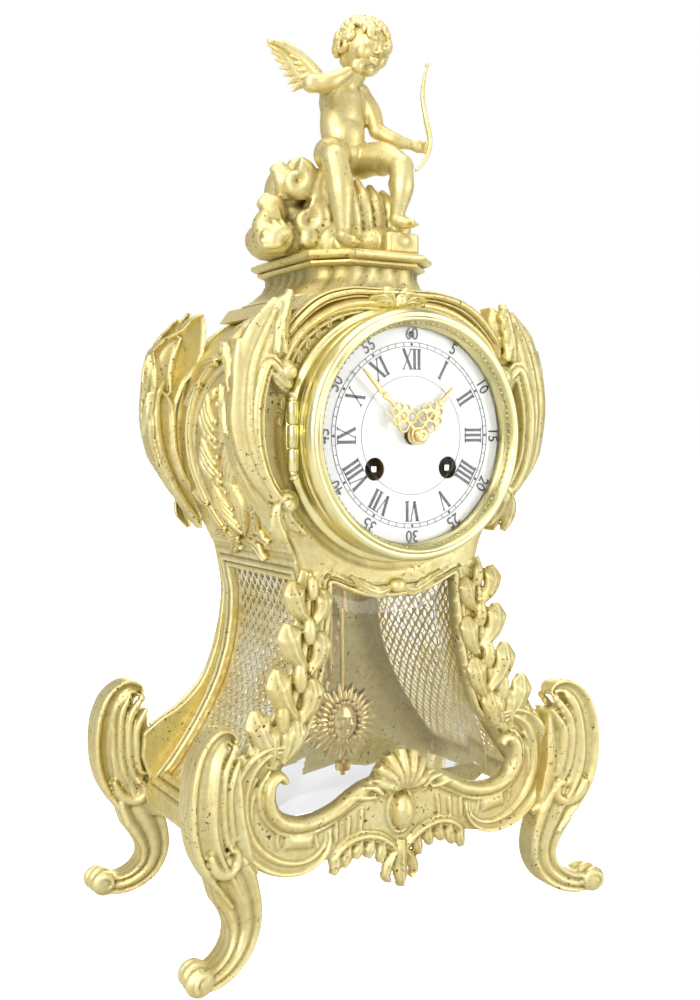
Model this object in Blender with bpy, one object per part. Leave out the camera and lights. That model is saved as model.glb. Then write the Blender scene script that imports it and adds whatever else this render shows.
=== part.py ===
"""Rococo gilt-bronze mantel clock with eight-day striking movement.

Every size below is in millimetres; the objects are built in metres.  +Z is up, the dial faces -Y
and the four feet stand on z = 0.  Each physical piece is one closed object.
"""
import math

import bmesh
import bpy
from mathutils import Matrix, Vector

# ------------------------------------------------------------------ overall sizes
CASE_WIDTH = 224.0        # over the four toes
CASE_DEPTH = 94.0         # over the front and back panels
DESIGN_WIDTH = 224.0      # width the outlines below are drawn for
MM = 0.001

# ------------------------------------------------------------------ fits
GAP = 0.3                 # between pieces that only touch
RUNNING = 0.3             # radial room round a turning arbor
PANEL = 4.0               # front and back panel thickness
SIDE_SHEET = 2.5          # side panel thickness
GRILLE_SHEET = 1.0
GLASS_SHEET = 2.5

# ------------------------------------------------------------------ dial, bezel and doors
DIAL_Z = 227.6            # height of the dial centre
DIAL_R = 48.0
DIAL_SHEET = 1.5
DIAL_STAND_OFF = 15.5     # dial face in front of the front panel
HOLE_R = 49.8             # round openings in the front and back panels
DRUM_R = 54.0             # outside of the fixed seat rings
DOOR_R = 55.0
DRUM_LENGTH = 11.0
DOME_RISE = 6.5
GLASS_SET = 2.5           # edge of the domed glass behind the front of its ring
HINGE_X = 57.3
HINGE_PIN_R = 1.2
KNUCKLE_R = 3.0
KNUCKLE_LENGTH = 15.0

# ------------------------------------------------------------------ movement
PLATE_R = 42.5
PLATE_SHEET = 1.5
PLATE_ROOM = 36.7         # between the plates
ARBOR_R = 0.8
WINDING_R = 1.8
BARREL_X = 19.4
BARREL_Z = -14.6          # below the dial centre
BARREL_R = 15.5
PILLAR_R = 2.2
WHEEL = 1.5               # wheel thickness
SUSPENSION_Z = 37.4       # above the dial centre
PENDULUM_BEHIND = 11.8    # pendulum plane behind the back plate
BOB_Z = 86.0
BOB_R = 20.0
BELL_R = 30.0

FRONT = -CASE_DEPTH / 2
BACK = CASE_DEPTH / 2
PLATE_FRONT = FRONT - 3.5
PLATE_REAR = PLATE_FRONT + PLATE_SHEET
BACK_PLATE = PLATE_REAR + PLATE_ROOM
BACK_PLATE_REAR = BACK_PLATE + PLATE_SHEET
PENDULUM_Y = BACK_PLATE_REAR + PENDULUM_BEHIND
DIAL_FACE = FRONT - DIAL_STAND_OFF
SEAT_FRONT = FRONT - DRUM_LENGTH
SEAT_BACK = BACK + DRUM_LENGTH
ROOF_TOP = 290.0
SLAB_TOP = 311.6

for old in list(bpy.data.objects):
    bpy.data.objects.remove(old, do_unlink=True)

# ------------------------------------------------------------------ materials


def material(name, colour, metallic, roughness, transmission=0.0):
    """One plain Principled material."""
    made = bpy.data.materials.new(name)
    made.use_nodes = True
    shader = made.node_tree.nodes["Principled BSDF"]
    shader.inputs["Base Color"].default_value = (*colour, 1.0)
    shader.inputs["Metallic"].default_value = metallic
    shader.inputs["Roughness"].default_value = roughness
    shader.inputs["Transmission Weight"].default_value = transmission
    return made


GILT = material("gilt_bronze", (0.80, 0.66, 0.30), 1.0, 0.38)
PIERCED = material("pierced_gilt", (0.82, 0.69, 0.36), 1.0, 0.42)
BEZEL = material("turned_gilt", (0.84, 0.68, 0.30), 1.0, 0.22)
BRASS = material("movement_brass", (0.80, 0.62, 0.26), 1.0, 0.30)
STEEL = material("arbor_steel", (0.50, 0.51, 0.53), 1.0, 0.30)
HANDS = material("hand_gilt", (0.85, 0.65, 0.28), 1.0, 0.25)
ENAMEL = material("dial_enamel", (0.93, 0.94, 0.94), 0.0, 0.15)
PANE = material("bevelled_pane", (0.92, 0.95, 0.96), 0.0, 0.03, 0.95)
DOME = material("dome_pane", (0.97, 0.98, 0.98), 0.0, 0.02, 0.98)
BELL_METAL = material("bell_metal", (0.76, 0.68, 0.46), 1.0, 0.28)


# ------------------------------------------------------------------ mesh helpers


def add(name, bm, mat):
    """Turn a bmesh drawn in millimetres into a linked object in metres."""
    bmesh.ops.recalc_face_normals(bm, faces=bm.faces)
    bmesh.ops.triangulate(bm, faces=[f for f in bm.faces if len(f.verts) > 4])
    bmesh.ops.scale(bm, vec=(MM, MM, MM), verts=bm.verts)
    mesh = bpy.data.meshes.new(name)
    bm.to_mesh(mesh)
    bm.free()
    made = bpy.data.objects.new(name, mesh)
    made.data.materials.append(mat)
    bpy.context.scene.collection.objects.link(made)
    return made


def wide(x):
    """Stretch an X drawn for the design width to the real case width."""
    return x * CASE_WIDTH / DESIGN_WIDTH


def mirrored(half, stretch=True):
    """Closed outline from its right half, listed from the top middle down to the bottom middle."""
    right = [(wide(x) if stretch else x, z) for x, z in half]
    left = [(-x, z) for x, z in reversed(right) if abs(x) > 1e-6]
    return right + left


def prism(name, outline, y0, y1, mat, shear=0.0, about=0.0):
    """Outline in XZ drawn out along Y; shear leans the solid along Y as X grows."""
    bm = bmesh.new()
    rows = []
    for y in (y0, y1):
        rows.append([bm.verts.new((x, y + shear * (x - about), z)) for x, z in outline])
    count = len(outline)
    bm.faces.new(rows[0])
    bm.faces.new(list(reversed(rows[1])))
    for i in range(count):
        j = (i + 1) % count
        bm.faces.new((rows[0][i], rows[1][i], rows[1][j], rows[0][j]))
    return add(name, bm, mat)


def block(name, x0, x1, y0, y1, z0, z1, mat):
    """Rectangular bar."""
    return prism(name, [(x0, z0), (x1, z0), (x1, z1), (x0, z1)], y0, y1, mat)


def turned(name, profile, centre, mat, axis="Y", segments=28):
    """Revolve a closed (radius, along-axis) profile about an axis through centre."""
    bm = bmesh.new()
    rings = []
    for radius, along in profile:
        ring = []
        for k in range(segments if radius > 1e-6 else 1):
            a = 2 * math.pi * (k + 0.5) / segments
            u, v = radius * math.cos(a), radius * math.sin(a)
            spot = (u, along, v) if axis == "Y" else (u, v, along)
            if axis == "X":
                spot = (along, u, v)
            ring.append(bm.verts.new(Vector(spot) + Vector(centre)))
        rings.append(ring)
    for a_ring, b_ring in zip(rings, rings[1:] + rings[:1]):
        if len(a_ring) == 1 and len(b_ring) == 1:
            continue
        for k in range(segments):
            j = (k + 1) % segments
            corners = []
            for vert in (a_ring[k % len(a_ring)], a_ring[j % len(a_ring)],
                         b_ring[j % len(b_ring)], b_ring[k % len(b_ring)]):
                if vert not in corners:
                    corners.append(vert)
            bm.faces.new(corners)
    return add(name, bm, mat)


def rod(name, x, z, y0, y1, radius, mat, segments=10):
    """Round bar along Y."""
    return turned(name, [(0, y0), (radius, y0), (radius, y1), (0, y1)], (x, 0, z), mat, "Y", segments)


def tube(name, points, radii, mat, segments=8, flat=1.0):
    """Round bar of changing radius through a list of points; flat squeezes it sideways."""
    bm = bmesh.new()
    spots = [Vector(p) for p in points]
    side = None
    rings = []
    for i, spot in enumerate(spots):
        ahead = spots[min(i + 1, len(spots) - 1)] - spots[max(i - 1, 0)]
        ahead.normalize()
        if side is None:
            seed = Vector((0, 1, 0)) if abs(ahead.y) < 0.8 else Vector((1, 0, 0))
            side = ahead.cross(seed).normalized()
        side = (side - ahead * side.dot(ahead)).normalized()
        other = ahead.cross(side)
        ring = []
        for k in range(segments):
            a = 2 * math.pi * k / segments
            offset = side * math.cos(a) + other * (math.sin(a) * flat)
            ring.append(bm.verts.new(spot + offset * radii[i]))
        rings.append(ring)
    for low, high in zip(rings, rings[1:]):
        for k in range(segments):
            j = (k + 1) % segments
            bm.faces.new((low[k], low[j], high[j], high[k]))
    bm.faces.new(list(reversed(rings[0])))
    bm.faces.new(rings[-1])
    return add(name, bm, mat)


def ball(name, centre, radii, mat, segments=10):
    """Ellipsoid."""
    profile = []
    steps = 6
    for i in range(steps + 1):
        a = math.pi * i / steps
        profile.append((0.0 if i in (0, steps) else math.sin(a), -math.cos(a)))
    made = turned(name, profile, (0, 0, 0), mat, "Z", segments)
    made.data.transform(Matrix.Diagonal((*radii, 1.0)))
    made.data.transform(Matrix.Translation(Vector(centre) * MM))
    return made


def bake(target):
    """Replace an object's mesh by its modified mesh."""
    bpy.context.view_layer.update()
    graph = bpy.context.evaluated_depsgraph_get()
    mesh = bpy.data.meshes.new_from_object(target.evaluated_get(graph))
    old = target.data
    target.modifiers.clear()
    target.data = mesh
    bpy.data.meshes.remove(old)
    mesh.name = target.name


def combine(target, tool, operation):
    """Boolean one object with another and drop the tool."""
    step = target.modifiers.new("combine", "BOOLEAN")
    step.operation = operation
    step.solver = "EXACT"
    step.object = tool
    bake(target)
    bpy.data.objects.remove(tool, do_unlink=True)
    bm = bmesh.new()
    bm.from_mesh(target.data)
    bmesh.ops.remove_doubles(bm, verts=bm.verts, dist=0.002 * MM)
    bmesh.ops.dissolve_degenerate(bm, edges=bm.edges, dist=0.002 * MM)
    bm.to_mesh(target.data)
    bm.free()
    return target


def fuse(target, *others):
    """Make one body of several overlapping ones."""
    for other in others:
        combine(target, other, "UNION")
    return target


def bore(target, *cutters):
    """Cut shapes out of a body."""
    for cutter in cutters:
        cutter.display_type = "WIRE"
        cutter.hide_render = True
        combine(target, cutter, "DIFFERENCE")
    return target


def gather(name, pieces, mat):
    """Put several separate shells into one mesh, for remeshing or for one cut."""
    bm = bmesh.new()
    for piece in pieces:
        bm.from_mesh(piece.data)
        bpy.data.objects.remove(piece, do_unlink=True)
    mesh = bpy.data.meshes.new(name)
    bm.to_mesh(mesh)
    bm.free()
    made = bpy.data.objects.new(name, mesh)
    made.data.materials.append(mat)
    bpy.context.scene.collection.objects.link(made)
    return made


def melt(made, voxel, keep):
    """Skin overlapping shells as one body and thin the skin to a share of its faces."""
    skin = made.modifiers.new("skin", "REMESH")
    skin.mode = "VOXEL"
    skin.voxel_size = voxel * MM
    thin = made.modifiers.new("thin", "DECIMATE")
    thin.ratio = keep
    bake(made)
    return made


def pivot(made, x, y, z):
    """Put an object's origin on its joint axis."""
    spot = Vector((x, y, z)) * MM
    made.data.transform(Matrix.Translation(-spot))
    made.location = spot
    return made


# ------------------------------------------------------------------ case outlines
PANEL_EDGE = [(0, 290), (22, 289.4), (38, 284), (52, 274), (60, 262), (66, 246), (68, 228),
              (66, 213), (61, 200), (55, 188), (50, 180), (46.5, 169), (44, 151), (45.7, 135),
              (48, 123), (54, 108), (60, 100), (68, 93), (78, 88), (87, 82), (88, 70)]
APRON_FOOT = [(88, 47), (83, 43), (68, 42), (56, 42), (40, 44), (0, 44)]
BACK_FOOT = [(88, 47), (80, 46), (60, 50), (40, 47), (20, 51), (0, 48)]
WINDOW = [(0, 154), (17, 155.5), (33, 162), (34, 149), (35.5, 137), (37.3, 125), (41, 110),
          (45.6, 95), (50.4, 82), (54.7, 69), (55, 62), (50, 60), (0, 60)]
SIDE_LINE = [(38.7, 283), (49, 274.5), (57.5, 264), (63, 250), (65.5, 238), (66, 228), (64.6, 214),
             (60.5, 200), (54.5, 186), (49.5, 176), (45.5, 165), (43, 151), (43.6, 137),
             (46, 123), (50.5, 109), (56.5, 97), (63, 86), (70, 76), (77, 67), (83, 61),
             (86, 57), (86, 47)]
GRILLE_TOP = 163.0
GRILLE_FOOT = 64.0
GRILLE_HALF = 33.0


def offset_line(line, distance):
    """Move an open XZ line square to itself; a positive distance moves it outward in X."""
    moved = []
    for i, (x, z) in enumerate(line):
        x0, z0 = line[max(i - 1, 0)]
        x1, z1 = line[min(i + 1, len(line) - 1)]
        length = math.hypot(x1 - x0, z1 - z0)
        moved.append((x - distance * (z1 - z0) / length, z + distance * (x1 - x0) / length))
    return moved


def widened(line):
    """An open line stretched to the case width."""
    return [(wide(x), z) for x, z in line]


def panel(name, foot, y0, y1):
    """Front or back panel with its round opening."""
    made = prism(name, mirrored(PANEL_EDGE + foot), y0, y1, GILT)
    hole = rod("hole", 0, DIAL_Z, y0 - 5, y1 + 5, HOLE_R, GILT, 36)
    return bore(made, hole)


front = panel("front_panel", APRON_FOOT, FRONT, FRONT + PANEL)
bore(front, prism("light", mirrored(WINDOW), FRONT - 5, FRONT + PANEL + 5, GILT))
panel("back_panel", BACK_FOOT, BACK - PANEL, BACK)

pane_edge = [(x * 1.045, z + (2.0 if z > 100 else -2.0)) for x, z in WINDOW]
pane_y = FRONT + PANEL + GAP
prism("window_glass", mirrored(pane_edge), pane_y, pane_y + GLASS_SHEET, PANE)

# ------------------------------------------------------------------ sides
SIDE_HALF = CASE_DEPTH / 2 - PANEL - GAP


def side_outline(sign):
    """Closed strip following the side line, one sheet thick."""
    outer = widened(SIDE_LINE)
    inner = offset_line(outer, -SIDE_SHEET)
    strip = outer + list(reversed(inner))
    return [(sign * x, z) for x, z in strip]


def grille_sheet(name, sign, columns, rows):
    """Curved pierced sheet with a square grid of openings, behind the side opening."""
    line = [p for p in widened(SIDE_LINE) if GRILLE_FOOT - 9 < p[1] < GRILLE_TOP + 4]
    inner_line = offset_line(line, -SIDE_SHEET - 3 * GAP)
    back_line = offset_line(line, -SIDE_SHEET - 3 * GAP - GRILLE_SHEET)
    across = 2 * columns + 1
    along = 2 * rows + 1
    half = GRILLE_HALF + 4

    def spot(path, share):
        place = share * (len(path) - 1)
        i = min(int(place), len(path) - 2)
        part = place - i
        x = path[i][0] * (1 - part) + path[i + 1][0] * part
        z = path[i][1] * (1 - part) + path[i + 1][1] * part
        return sign * x, z

    bm = bmesh.new()
    grids = []
    for path in (inner_line, back_line):
        grid = []
        for i in range(along + 1):
            x, z = spot(path, i / along)
            row = [bm.verts.new((x, -half + 2 * half * j / across, z)) for j in range(across + 1)]
            grid.append(row)
        grids.append(grid)
    pierced = {(i, j) for i in range(1, along - 1, 2) for j in range(1, across - 1, 2)}

    def solid(i, j):
        return 0 <= i < along and 0 <= j < across and (i, j) not in pierced

    for i in range(along):
        for j in range(across):
            if not solid(i, j):
                continue
            for grid in grids:
                bm.faces.new((grid[i][j], grid[i][j + 1], grid[i + 1][j + 1], grid[i + 1][j]))
            near = ((i - 1, j, (i, j), (i, j + 1)), (i + 1, j, (i + 1, j), (i + 1, j + 1)),
                    (i, j - 1, (i, j), (i + 1, j)), (i, j + 1, (i, j + 1), (i + 1, j + 1)))
            for a, b, p, q in near:
                if not solid(a, b):
                    bm.faces.new((grids[0][p[0]][p[1]], grids[0][q[0]][q[1]],
                                  grids[1][q[0]][q[1]], grids[1][p[0]][p[1]]))
    return add(name, bm, PIERCED)


for side_name, sign in (("left", -1), ("right", 1)):
    wall = prism("side_panel_" + side_name, side_outline(sign), -SIDE_HALF, SIDE_HALF, GILT)
    light = block("light", min(20 * sign, 110 * sign), max(20 * sign, 110 * sign),
                  -GRILLE_HALF, GRILLE_HALF, GRILLE_FOOT, GRILLE_TOP, GILT)
    bore(wall, light)
    grille_sheet("side_grille_" + side_name, sign, 4, 6)

# ------------------------------------------------------------------ roof, pedestal
ROOF = [(0, ROOF_TOP), (40, ROOF_TOP), (45, 283.4), (36, 283.4), (31, 286), (0, 286)]
prism("roof_cap", mirrored(ROOF), -SIDE_HALF, SIDE_HALF, GILT)


def octagon(bm, z, half_x, half_y, cut_x, cut_y):
    """One eight-sided level of the pedestal."""
    plan = [(half_x, -cut_y), (half_x, cut_y), (cut_x, half_y), (-cut_x, half_y),
            (-half_x, cut_y), (-half_x, -cut_y), (-cut_x, -half_y), (cut_x, -half_y)]
    return [bm.verts.new((x, y, z)) for x, y in plan]


shape = bmesh.new()
levels = [octagon(shape, ROOF_TOP + GAP, 40, 42, 30, 36), octagon(shape, 294, 39, 41, 29, 34),
          octagon(shape, 297, 35, 39, 22, 30), octagon(shape, 303, 28, 37, 17, 22),
          octagon(shape, 305, 32, 42, 19, 25), octagon(shape, SLAB_TOP - 1, 33, 43, 20, 26),
          octagon(shape, SLAB_TOP, 32.4, 42.4, 19.6, 25.6)]
for low, high in zip(levels, levels[1:]):
    for k in range(8):
        j = (k + 1) % 8
        shape.faces.new((low[k], low[j], high[j], high[k]))
shape.faces.new(levels[0])
shape.faces.new(levels[-1])
add("pedestal", shape, GILT)

# ------------------------------------------------------------------ corner castings
LEG = [(84.3, 62), (84.3, 84), (83, 97), (86, 105), (91.5, 104.6), (98, 99.5), (104.5, 86),
       (108.3, 71), (107.6, 56), (103, 46), (95, 37), (89.3, 29), (88.3, 21), (92, 14.5),
       (101, 12.5), (108, 13), (112, 7), (110.5, 0), (92, 0), (85, 6), (79, 15), (74, 27),
       (70.6, 36), (72.5, 41.5), (84.3, 45)]
LEG_HALF = 7.0
WING = [(54, 288.5), (60, 285), (65, 279), (75, 274), (81, 269), (79, 257), (81.6, 240),
        (81.4, 228), (78, 214), (72, 203), (64, 191), (56, 181), (56, 190), (58, 198),
        (66, 208), (70, 222), (70, 240), (64, 254), (56, 262), (53.5, 270), (52.5, 282)]
GARLAND = [(39, 169), (48.5, 170), (51.5, 161), (49, 152), (54, 143), (53.5, 129), (57, 117),
           (67, 100.5), (80, 93), (81, 85), (68, 84), (60, 87), (52.5, 98), (45.5, 115),
           (41.5, 130), (39.5, 146)]


def corner_keep_out():
    """Solid the size of the closed case, a gap larger, for trimming the corner castings."""
    edge = mirrored(PANEL_EDGE + [(88, 41.5), (0, 41.5)])
    grown = [(x + GAP * 2 * (1 if x > 0 else -1), z + GAP) for x, z in edge]
    return prism("case", grown, FRONT - GAP, BACK + GAP, GILT)


for y_name, y_sign in (("front", -1), ("back", 1)):
    for side_name, sign in (("left", -1), ("right", 1)):
        tail = y_name + "_" + side_name
        face = CASE_DEPTH / 2 + GAP
        leg_line = [(sign * wide(x), z) for x, z in LEG]
        lean = 0.33 * y_sign * sign
        middle = y_sign * (face + 4.0)
        leg = prism("leg_" + tail, leg_line, middle - LEG_HALF, middle + LEG_HALF, GILT,
                    lean, sign * wide(77))
        bore(leg, corner_keep_out())
        wing_line = [(sign * wide(x), z) for x, z in WING]
        wing = prism("wing_" + tail, wing_line, y_sign * (face - 8), y_sign * (face + 7), GILT)
        bore(wing, corner_keep_out())
for side_name, sign in (("left", -1), ("right", 1)):
    husk_line = [(sign * wide(x), z) for x, z in GARLAND]
    prism("garland_" + side_name, husk_line, FRONT - GAP - 6, FRONT - GAP, GILT)

# ------------------------------------------------------------------ apron
APRON = [(0, 81.5), (10, 80), (17, 74), (26, 68), (38, 63), (48, 60), (50, 66), (49, 84),
         (51, 88.5), (58, 86.5), (64, 81.5), (82.5, 81.5), (83.8, 70), (83.8, 46.5), (70, 44),
         (69, 36), (56, 33), (43, 36), (36, 32), (20, 31), (12, 33), (6, 24), (0, 21)]
apron = prism("front_apron", mirrored(APRON), FRONT - GAP - 6, FRONT - GAP, GILT)
cabochon = ball("boss", (0, FRONT - GAP - 4, 54), (11, 8, 13), GILT, 12)
drop = ball("drop", (0, FRONT - GAP - 5, 31), (7, 6, 9), GILT, 10)
fuse(apron, cabochon, drop)
bore(apron, block("trim", -40, 40, FRONT - GAP, FRONT + 20, 0, 120, GILT))

# ------------------------------------------------------------------ rocks, figure and bow
clouds = [ball("c", (-6, 5, 322), (27, 24, 24), GILT), ball("c", (-29, 5, 321), (19, 17, 12), GILT),
          ball("c", (-27, 5, 343), (11, 12, 15), GILT), ball("c", (14, 2, 322), (14, 20, 16), GILT),
          ball("c", (13, -28, 313), (11, 13, 8), GILT), ball("c", (8, -20, 316), (12, 14, 8), GILT)]
rocks = melt(gather("rocks", clouds, GILT), 2.2, 0.11)
bore(rocks, block("base", -80, 80, -80, 80, 290, SLAB_TOP + GAP, GILT))

limbs = [ball("f", (7.5, -11, 415.5), (12, 12.5, 14.6), GILT, 12),
         tube("f", [(5, -9, 404), (2, -6, 396), (0, -4, 386)], [5, 6, 10], GILT),
         ball("f", (-1, -4, 385), (15, 10, 15), GILT), ball("f", (-1, -5, 369), (13, 11, 14), GILT),
         ball("f", (-1, -5, 361), (14, 12, 12), GILT),
         tube("f", [(-10, -6, 392), (-20, -13, 389), (-26, -19, 387), (-16, -21, 391),
                    (-3, -22, 396)], [5, 4.5, 4, 3.6, 3.5], GILT),
         tube("f", [(10, -6, 391), (13, -8, 380), (14, -11, 371), (23, -14, 366), (30, -19, 366)],
              [5, 4.6, 4.2, 3.6, 3.4], GILT),
         tube("f", [(-8, -8, 359), (-15, -20, 358), (-20, -30, 354), (-20, -31, 342),
                    (-19, -32, 326), (-18, -34, 318)], [8, 8, 6.5, 5.6, 4, 3.6], GILT),
         tube("f", [(-18, -31, 316.5), (-17.5, -42, 315.5)], [4, 2.8], GILT),
         tube("f", [(7, -8, 359), (12, -22, 357), (14, -33, 352), (16, -34, 342), (11, -33, 330),
                    (12, -34, 327)], [8, 8, 6.5, 5.4, 4, 3.4], GILT),
         tube("f", [(12, -32, 325.5), (16, -40, 325)], [3.6, 2.6], GILT),
         tube("f", [(-5, 4, 394), (-10, 9, 402), (-20, 11, 410), (-28, 11, 413)],
              [4, 7, 6, 3], GILT, 8, 0.4),
         tube("f", [(6, 4, 394), (11, 10, 400), (17, 15, 407), (22, 18, 411)],
              [4, 7, 6, 3], GILT, 8, 0.4)]
figure = melt(gather("cupid", limbs, GILT), 1.5, 0.065)

bow_line = [(36, -22, 405), (33.5, -23, 398), (31, -25, 388), (33, -26, 378), (34.5, -26, 368),
            (33, -26, 361), (27, -26, 354)]
tube("bow", bow_line, [0.8, 1.1, 1.3, 1.3, 1.3, 1.2, 0.9], GILT, 6)

# ------------------------------------------------------------------ front bezel
ring_half = KNUCKLE_LENGTH / 2


def knuckle(x, y, z0, z1):
    """Hinge barrel before boring."""
    return turned("knuckle", [(0, z0), (KNUCKLE_R, z0), (KNUCKLE_R, z1), (0, z1)], (x, y, 0), BEZEL,
                  "Z", 12)


def hinge_bore(target, x, y):
    """Room for the hinge pin."""
    room = HINGE_PIN_R + RUNNING
    low, high = DIAL_Z - 30, DIAL_Z + 30
    return bore(target, turned("bore", [(0, low), (room, low), (room, high), (0, high)], (x, y, 0),
                               BEZEL, "Z", 12))


def drum(name, face, out, x, lip):
    """Fixed ring on a panel with an inner lip; out is -1 in front and +1 behind."""
    end = face + out * (DRUM_LENGTH - GAP)
    profile = [(DRUM_R + 2.5, face), (DRUM_R + 2.5, face + out * 1.5), (DRUM_R, face + out * 2.5),
               (DRUM_R, end), (50.3, end), (50.3, lip + out * 2), (40.5, lip + out * 2),
               (40.5, lip)]
    if abs(lip - face) > GAP:
        profile += [(50.3, lip), (50.3, face)]
    made = turned(name, profile, (0, 0, DIAL_Z), BEZEL, "Y", 30)
    axis_y = face + out * DRUM_LENGTH
    for z0, z1 in ((DIAL_Z + ring_half + 0.5, DIAL_Z + ring_half + 9),
                   (DIAL_Z - ring_half - 9, DIAL_Z - ring_half - 0.5)):
        lug_y = sorted((axis_y - out * 2, axis_y - out * 8))
        lug_x = sorted((x, x * 0.893))
        fuse(made, block("lug", lug_x[0], lug_x[1], lug_y[0], lug_y[1], z0 + 0.6, z1 - 0.6, BEZEL))
        fuse(made, knuckle(x, axis_y, z0, z1))
    return hinge_bore(made, x, axis_y)


STRAP_X = 45.0
seat = drum("front_seat_ring", FRONT - GAP, -1, -HINGE_X, PLATE_FRONT - GAP)
for sign in (-1, 1):
    x0, x1 = sorted((sign * (STRAP_X - 1.2), sign * (STRAP_X + 1.2)))
    strap = block("strap", x0, x1, PLATE_FRONT - GAP - 1, BACK - 10, DIAL_Z - 5, DIAL_Z + 5, BEZEL)
    x0, x1 = sorted((sign * (STRAP_X - 2.4), sign * (STRAP_X + 2.6)))
    foot = block("foot", x0, x1, BACK - 14, BACK - GAP, DIAL_Z - 3.5, DIAL_Z + 3.5, BEZEL)
    fuse(strap, foot)
    bore(strap, rod("bore", sign * STRAP_X, DIAL_Z, BACK - 13, BACK + 5, 1.2 + GAP, BEZEL))
    fuse(seat, strap)

rear = drum("back_seat_ring", BACK + GAP, 1, HINGE_X, BACK + GAP)
for side_name, sign in (("left", -1), ("right", 1)):
    bore(rear, rod("bore", sign * STRAP_X, DIAL_Z, BACK - 5, BACK + 9, 1.2 + GAP, BEZEL))
    screw = rod("strap_screw_" + side_name, sign * STRAP_X, DIAL_Z, BACK - 12, BACK + 4, 1.2, STEEL)
    fuse(screw, rod("head", sign * STRAP_X, DIAL_Z, BACK + 2 + 2 * GAP, BACK + 4.8, 3.0, STEEL, 16))
    bore(screw, block("slot", sign * STRAP_X - 5, sign * STRAP_X + 5, BACK + 3.9, BACK + 6,
                      DIAL_Z - 0.5, DIAL_Z + 0.5, STEEL))

door_back = SEAT_FRONT - GAP
DOOR_FRONT = DIAL_FACE - 9.5
ring_line = [(50.5, door_back), (54, door_back), (DOOR_R, door_back - 1.7),
             (DOOR_R, door_back - 5.5), (53.8, door_back - 9.5), (52, DOOR_FRONT),
             (49.5, DOOR_FRONT), (49.5, DOOR_FRONT + 1.7), (51.8, DOOR_FRONT + 1.7),
             (51.8, DOOR_FRONT + 4.6), (47.6, DOOR_FRONT + 6.5), (47.6, DIAL_FACE - 0.8),
             (50.5, DIAL_FACE - 0.8)]
door = turned("front_door_ring", ring_line, (0, 0, DIAL_Z), BEZEL, "Y", 30)
fuse(door, block("lug", -HINGE_X, -52.4, door_back - 8, door_back - 2.4, DIAL_Z - 6.4, DIAL_Z + 6.4,
                 BEZEL))
fuse(door, knuckle(-HINGE_X, SEAT_FRONT - GAP, DIAL_Z - ring_half, DIAL_Z + ring_half))
hinge_bore(door, -HINGE_X, SEAT_FRONT - GAP)
pivot(door, -HINGE_X, SEAT_FRONT - GAP, DIAL_Z)

glass_edge = DOOR_FRONT + GLASS_SET
glass_line = [(0, glass_edge - DOME_RISE)]
for step in range(1, 6):
    r = 51.4 * step / 5
    glass_line.append((r, glass_edge - DOME_RISE * (1 - (r / 51.4) ** 2)))
for step in range(5, 0, -1):
    r = 51.4 * step / 5
    glass_line.append((r, glass_edge + 1.7 - DOME_RISE * (1 - (r / 51.4) ** 2)))
glass_line.append((0, glass_edge + 1.7 - DOME_RISE))
pane = turned("front_door_glass", glass_line, (0, 0, DIAL_Z), DOME, "Y", 28)
pivot(pane, -HINGE_X, SEAT_FRONT - GAP, DIAL_Z)


def hinge_pin(name, x, y):
    """Pin with a small ball finial at each end."""
    low, high = DIAL_Z - ring_half - 9.5, DIAL_Z + ring_half + 9.5
    line = [(0, low - 2), (2, low - 1.2), (2, low), (HINGE_PIN_R, low), (HINGE_PIN_R, high),
            (2, high), (2, high + 1.2), (0, high + 2)]
    return turned(name, line, (x, y, 0), BEZEL, "Z", 12)


hinge_pin("front_hinge_pin", -HINGE_X, SEAT_FRONT - GAP)
hinge_pin("back_hinge_pin", HINGE_X, SEAT_BACK + GAP)

# ------------------------------------------------------------------ back door
back_line = [(0, SEAT_BACK + 4), (44, SEAT_BACK + 4), (49, SEAT_BACK + 2), (49, SEAT_BACK + GAP),
             (DOOR_R, SEAT_BACK + GAP), (DOOR_R, SEAT_BACK + 2.5), (52, SEAT_BACK + 5),
             (46, SEAT_BACK + 7), (0, SEAT_BACK + 7.5)]
rear_door = turned("back_door", back_line, (0, 0, DIAL_Z), BEZEL, "Y", 28)
KNOB_END = -(DOOR_FRONT + GLASS_SET - DOME_RISE)
knob_line = [(0, SEAT_BACK + 6), (2, SEAT_BACK + 6), (2, SEAT_BACK + 11), (4.5, SEAT_BACK + 14),
             (4.5, KNOB_END - 2), (3, KNOB_END), (0, KNOB_END)]
fuse(rear_door, turned("knob", knob_line, (-44, 0, DIAL_Z), BEZEL, "Y", 16))
fuse(rear_door, knuckle(HINGE_X, SEAT_BACK + GAP, DIAL_Z - ring_half, DIAL_Z + ring_half))
hinge_bore(rear_door, HINGE_X, SEAT_BACK + GAP)
pivot(rear_door, HINGE_X, SEAT_BACK + GAP, DIAL_Z)

# ------------------------------------------------------------------ train layout (from dial centre)
CENTRE = (0.0, 0.0)
GOING = (BARREL_X, BARREL_Z)
STRIKE = (-BARREL_X, BARREL_Z)
GREAT_TEETH, SECOND_LEAVES, GREAT_MODULE = 54, 6, 0.64
SECOND_TEETH, CENTRE_LEAVES, SECOND_MODULE = 45, 6, 0.5333
CENTRE_TEETH, THIRD_LEAVES, CENTRE_MODULE = 72, 6, 0.33
THIRD_TEETH, ESCAPE_LEAVES, THIRD_MODULE = 70, 6, 0.32
CANNON_LEAVES, MINUTE_TEETH, CANNON_MODULE = 8, 24, 0.5625
MINUTE_LEAVES, HOUR_TEETH, HOUR_MODULE = 6, 24, 0.60
PIN_LEAVES, PIN_MODULE = 6, SECOND_MODULE
ESCAPE_TEETH, ESCAPE_R = 30, 8.5


def apart(a, b, module):
    """Centre distance of two meshing wheels."""
    return (a + b) * module / 2


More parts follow.
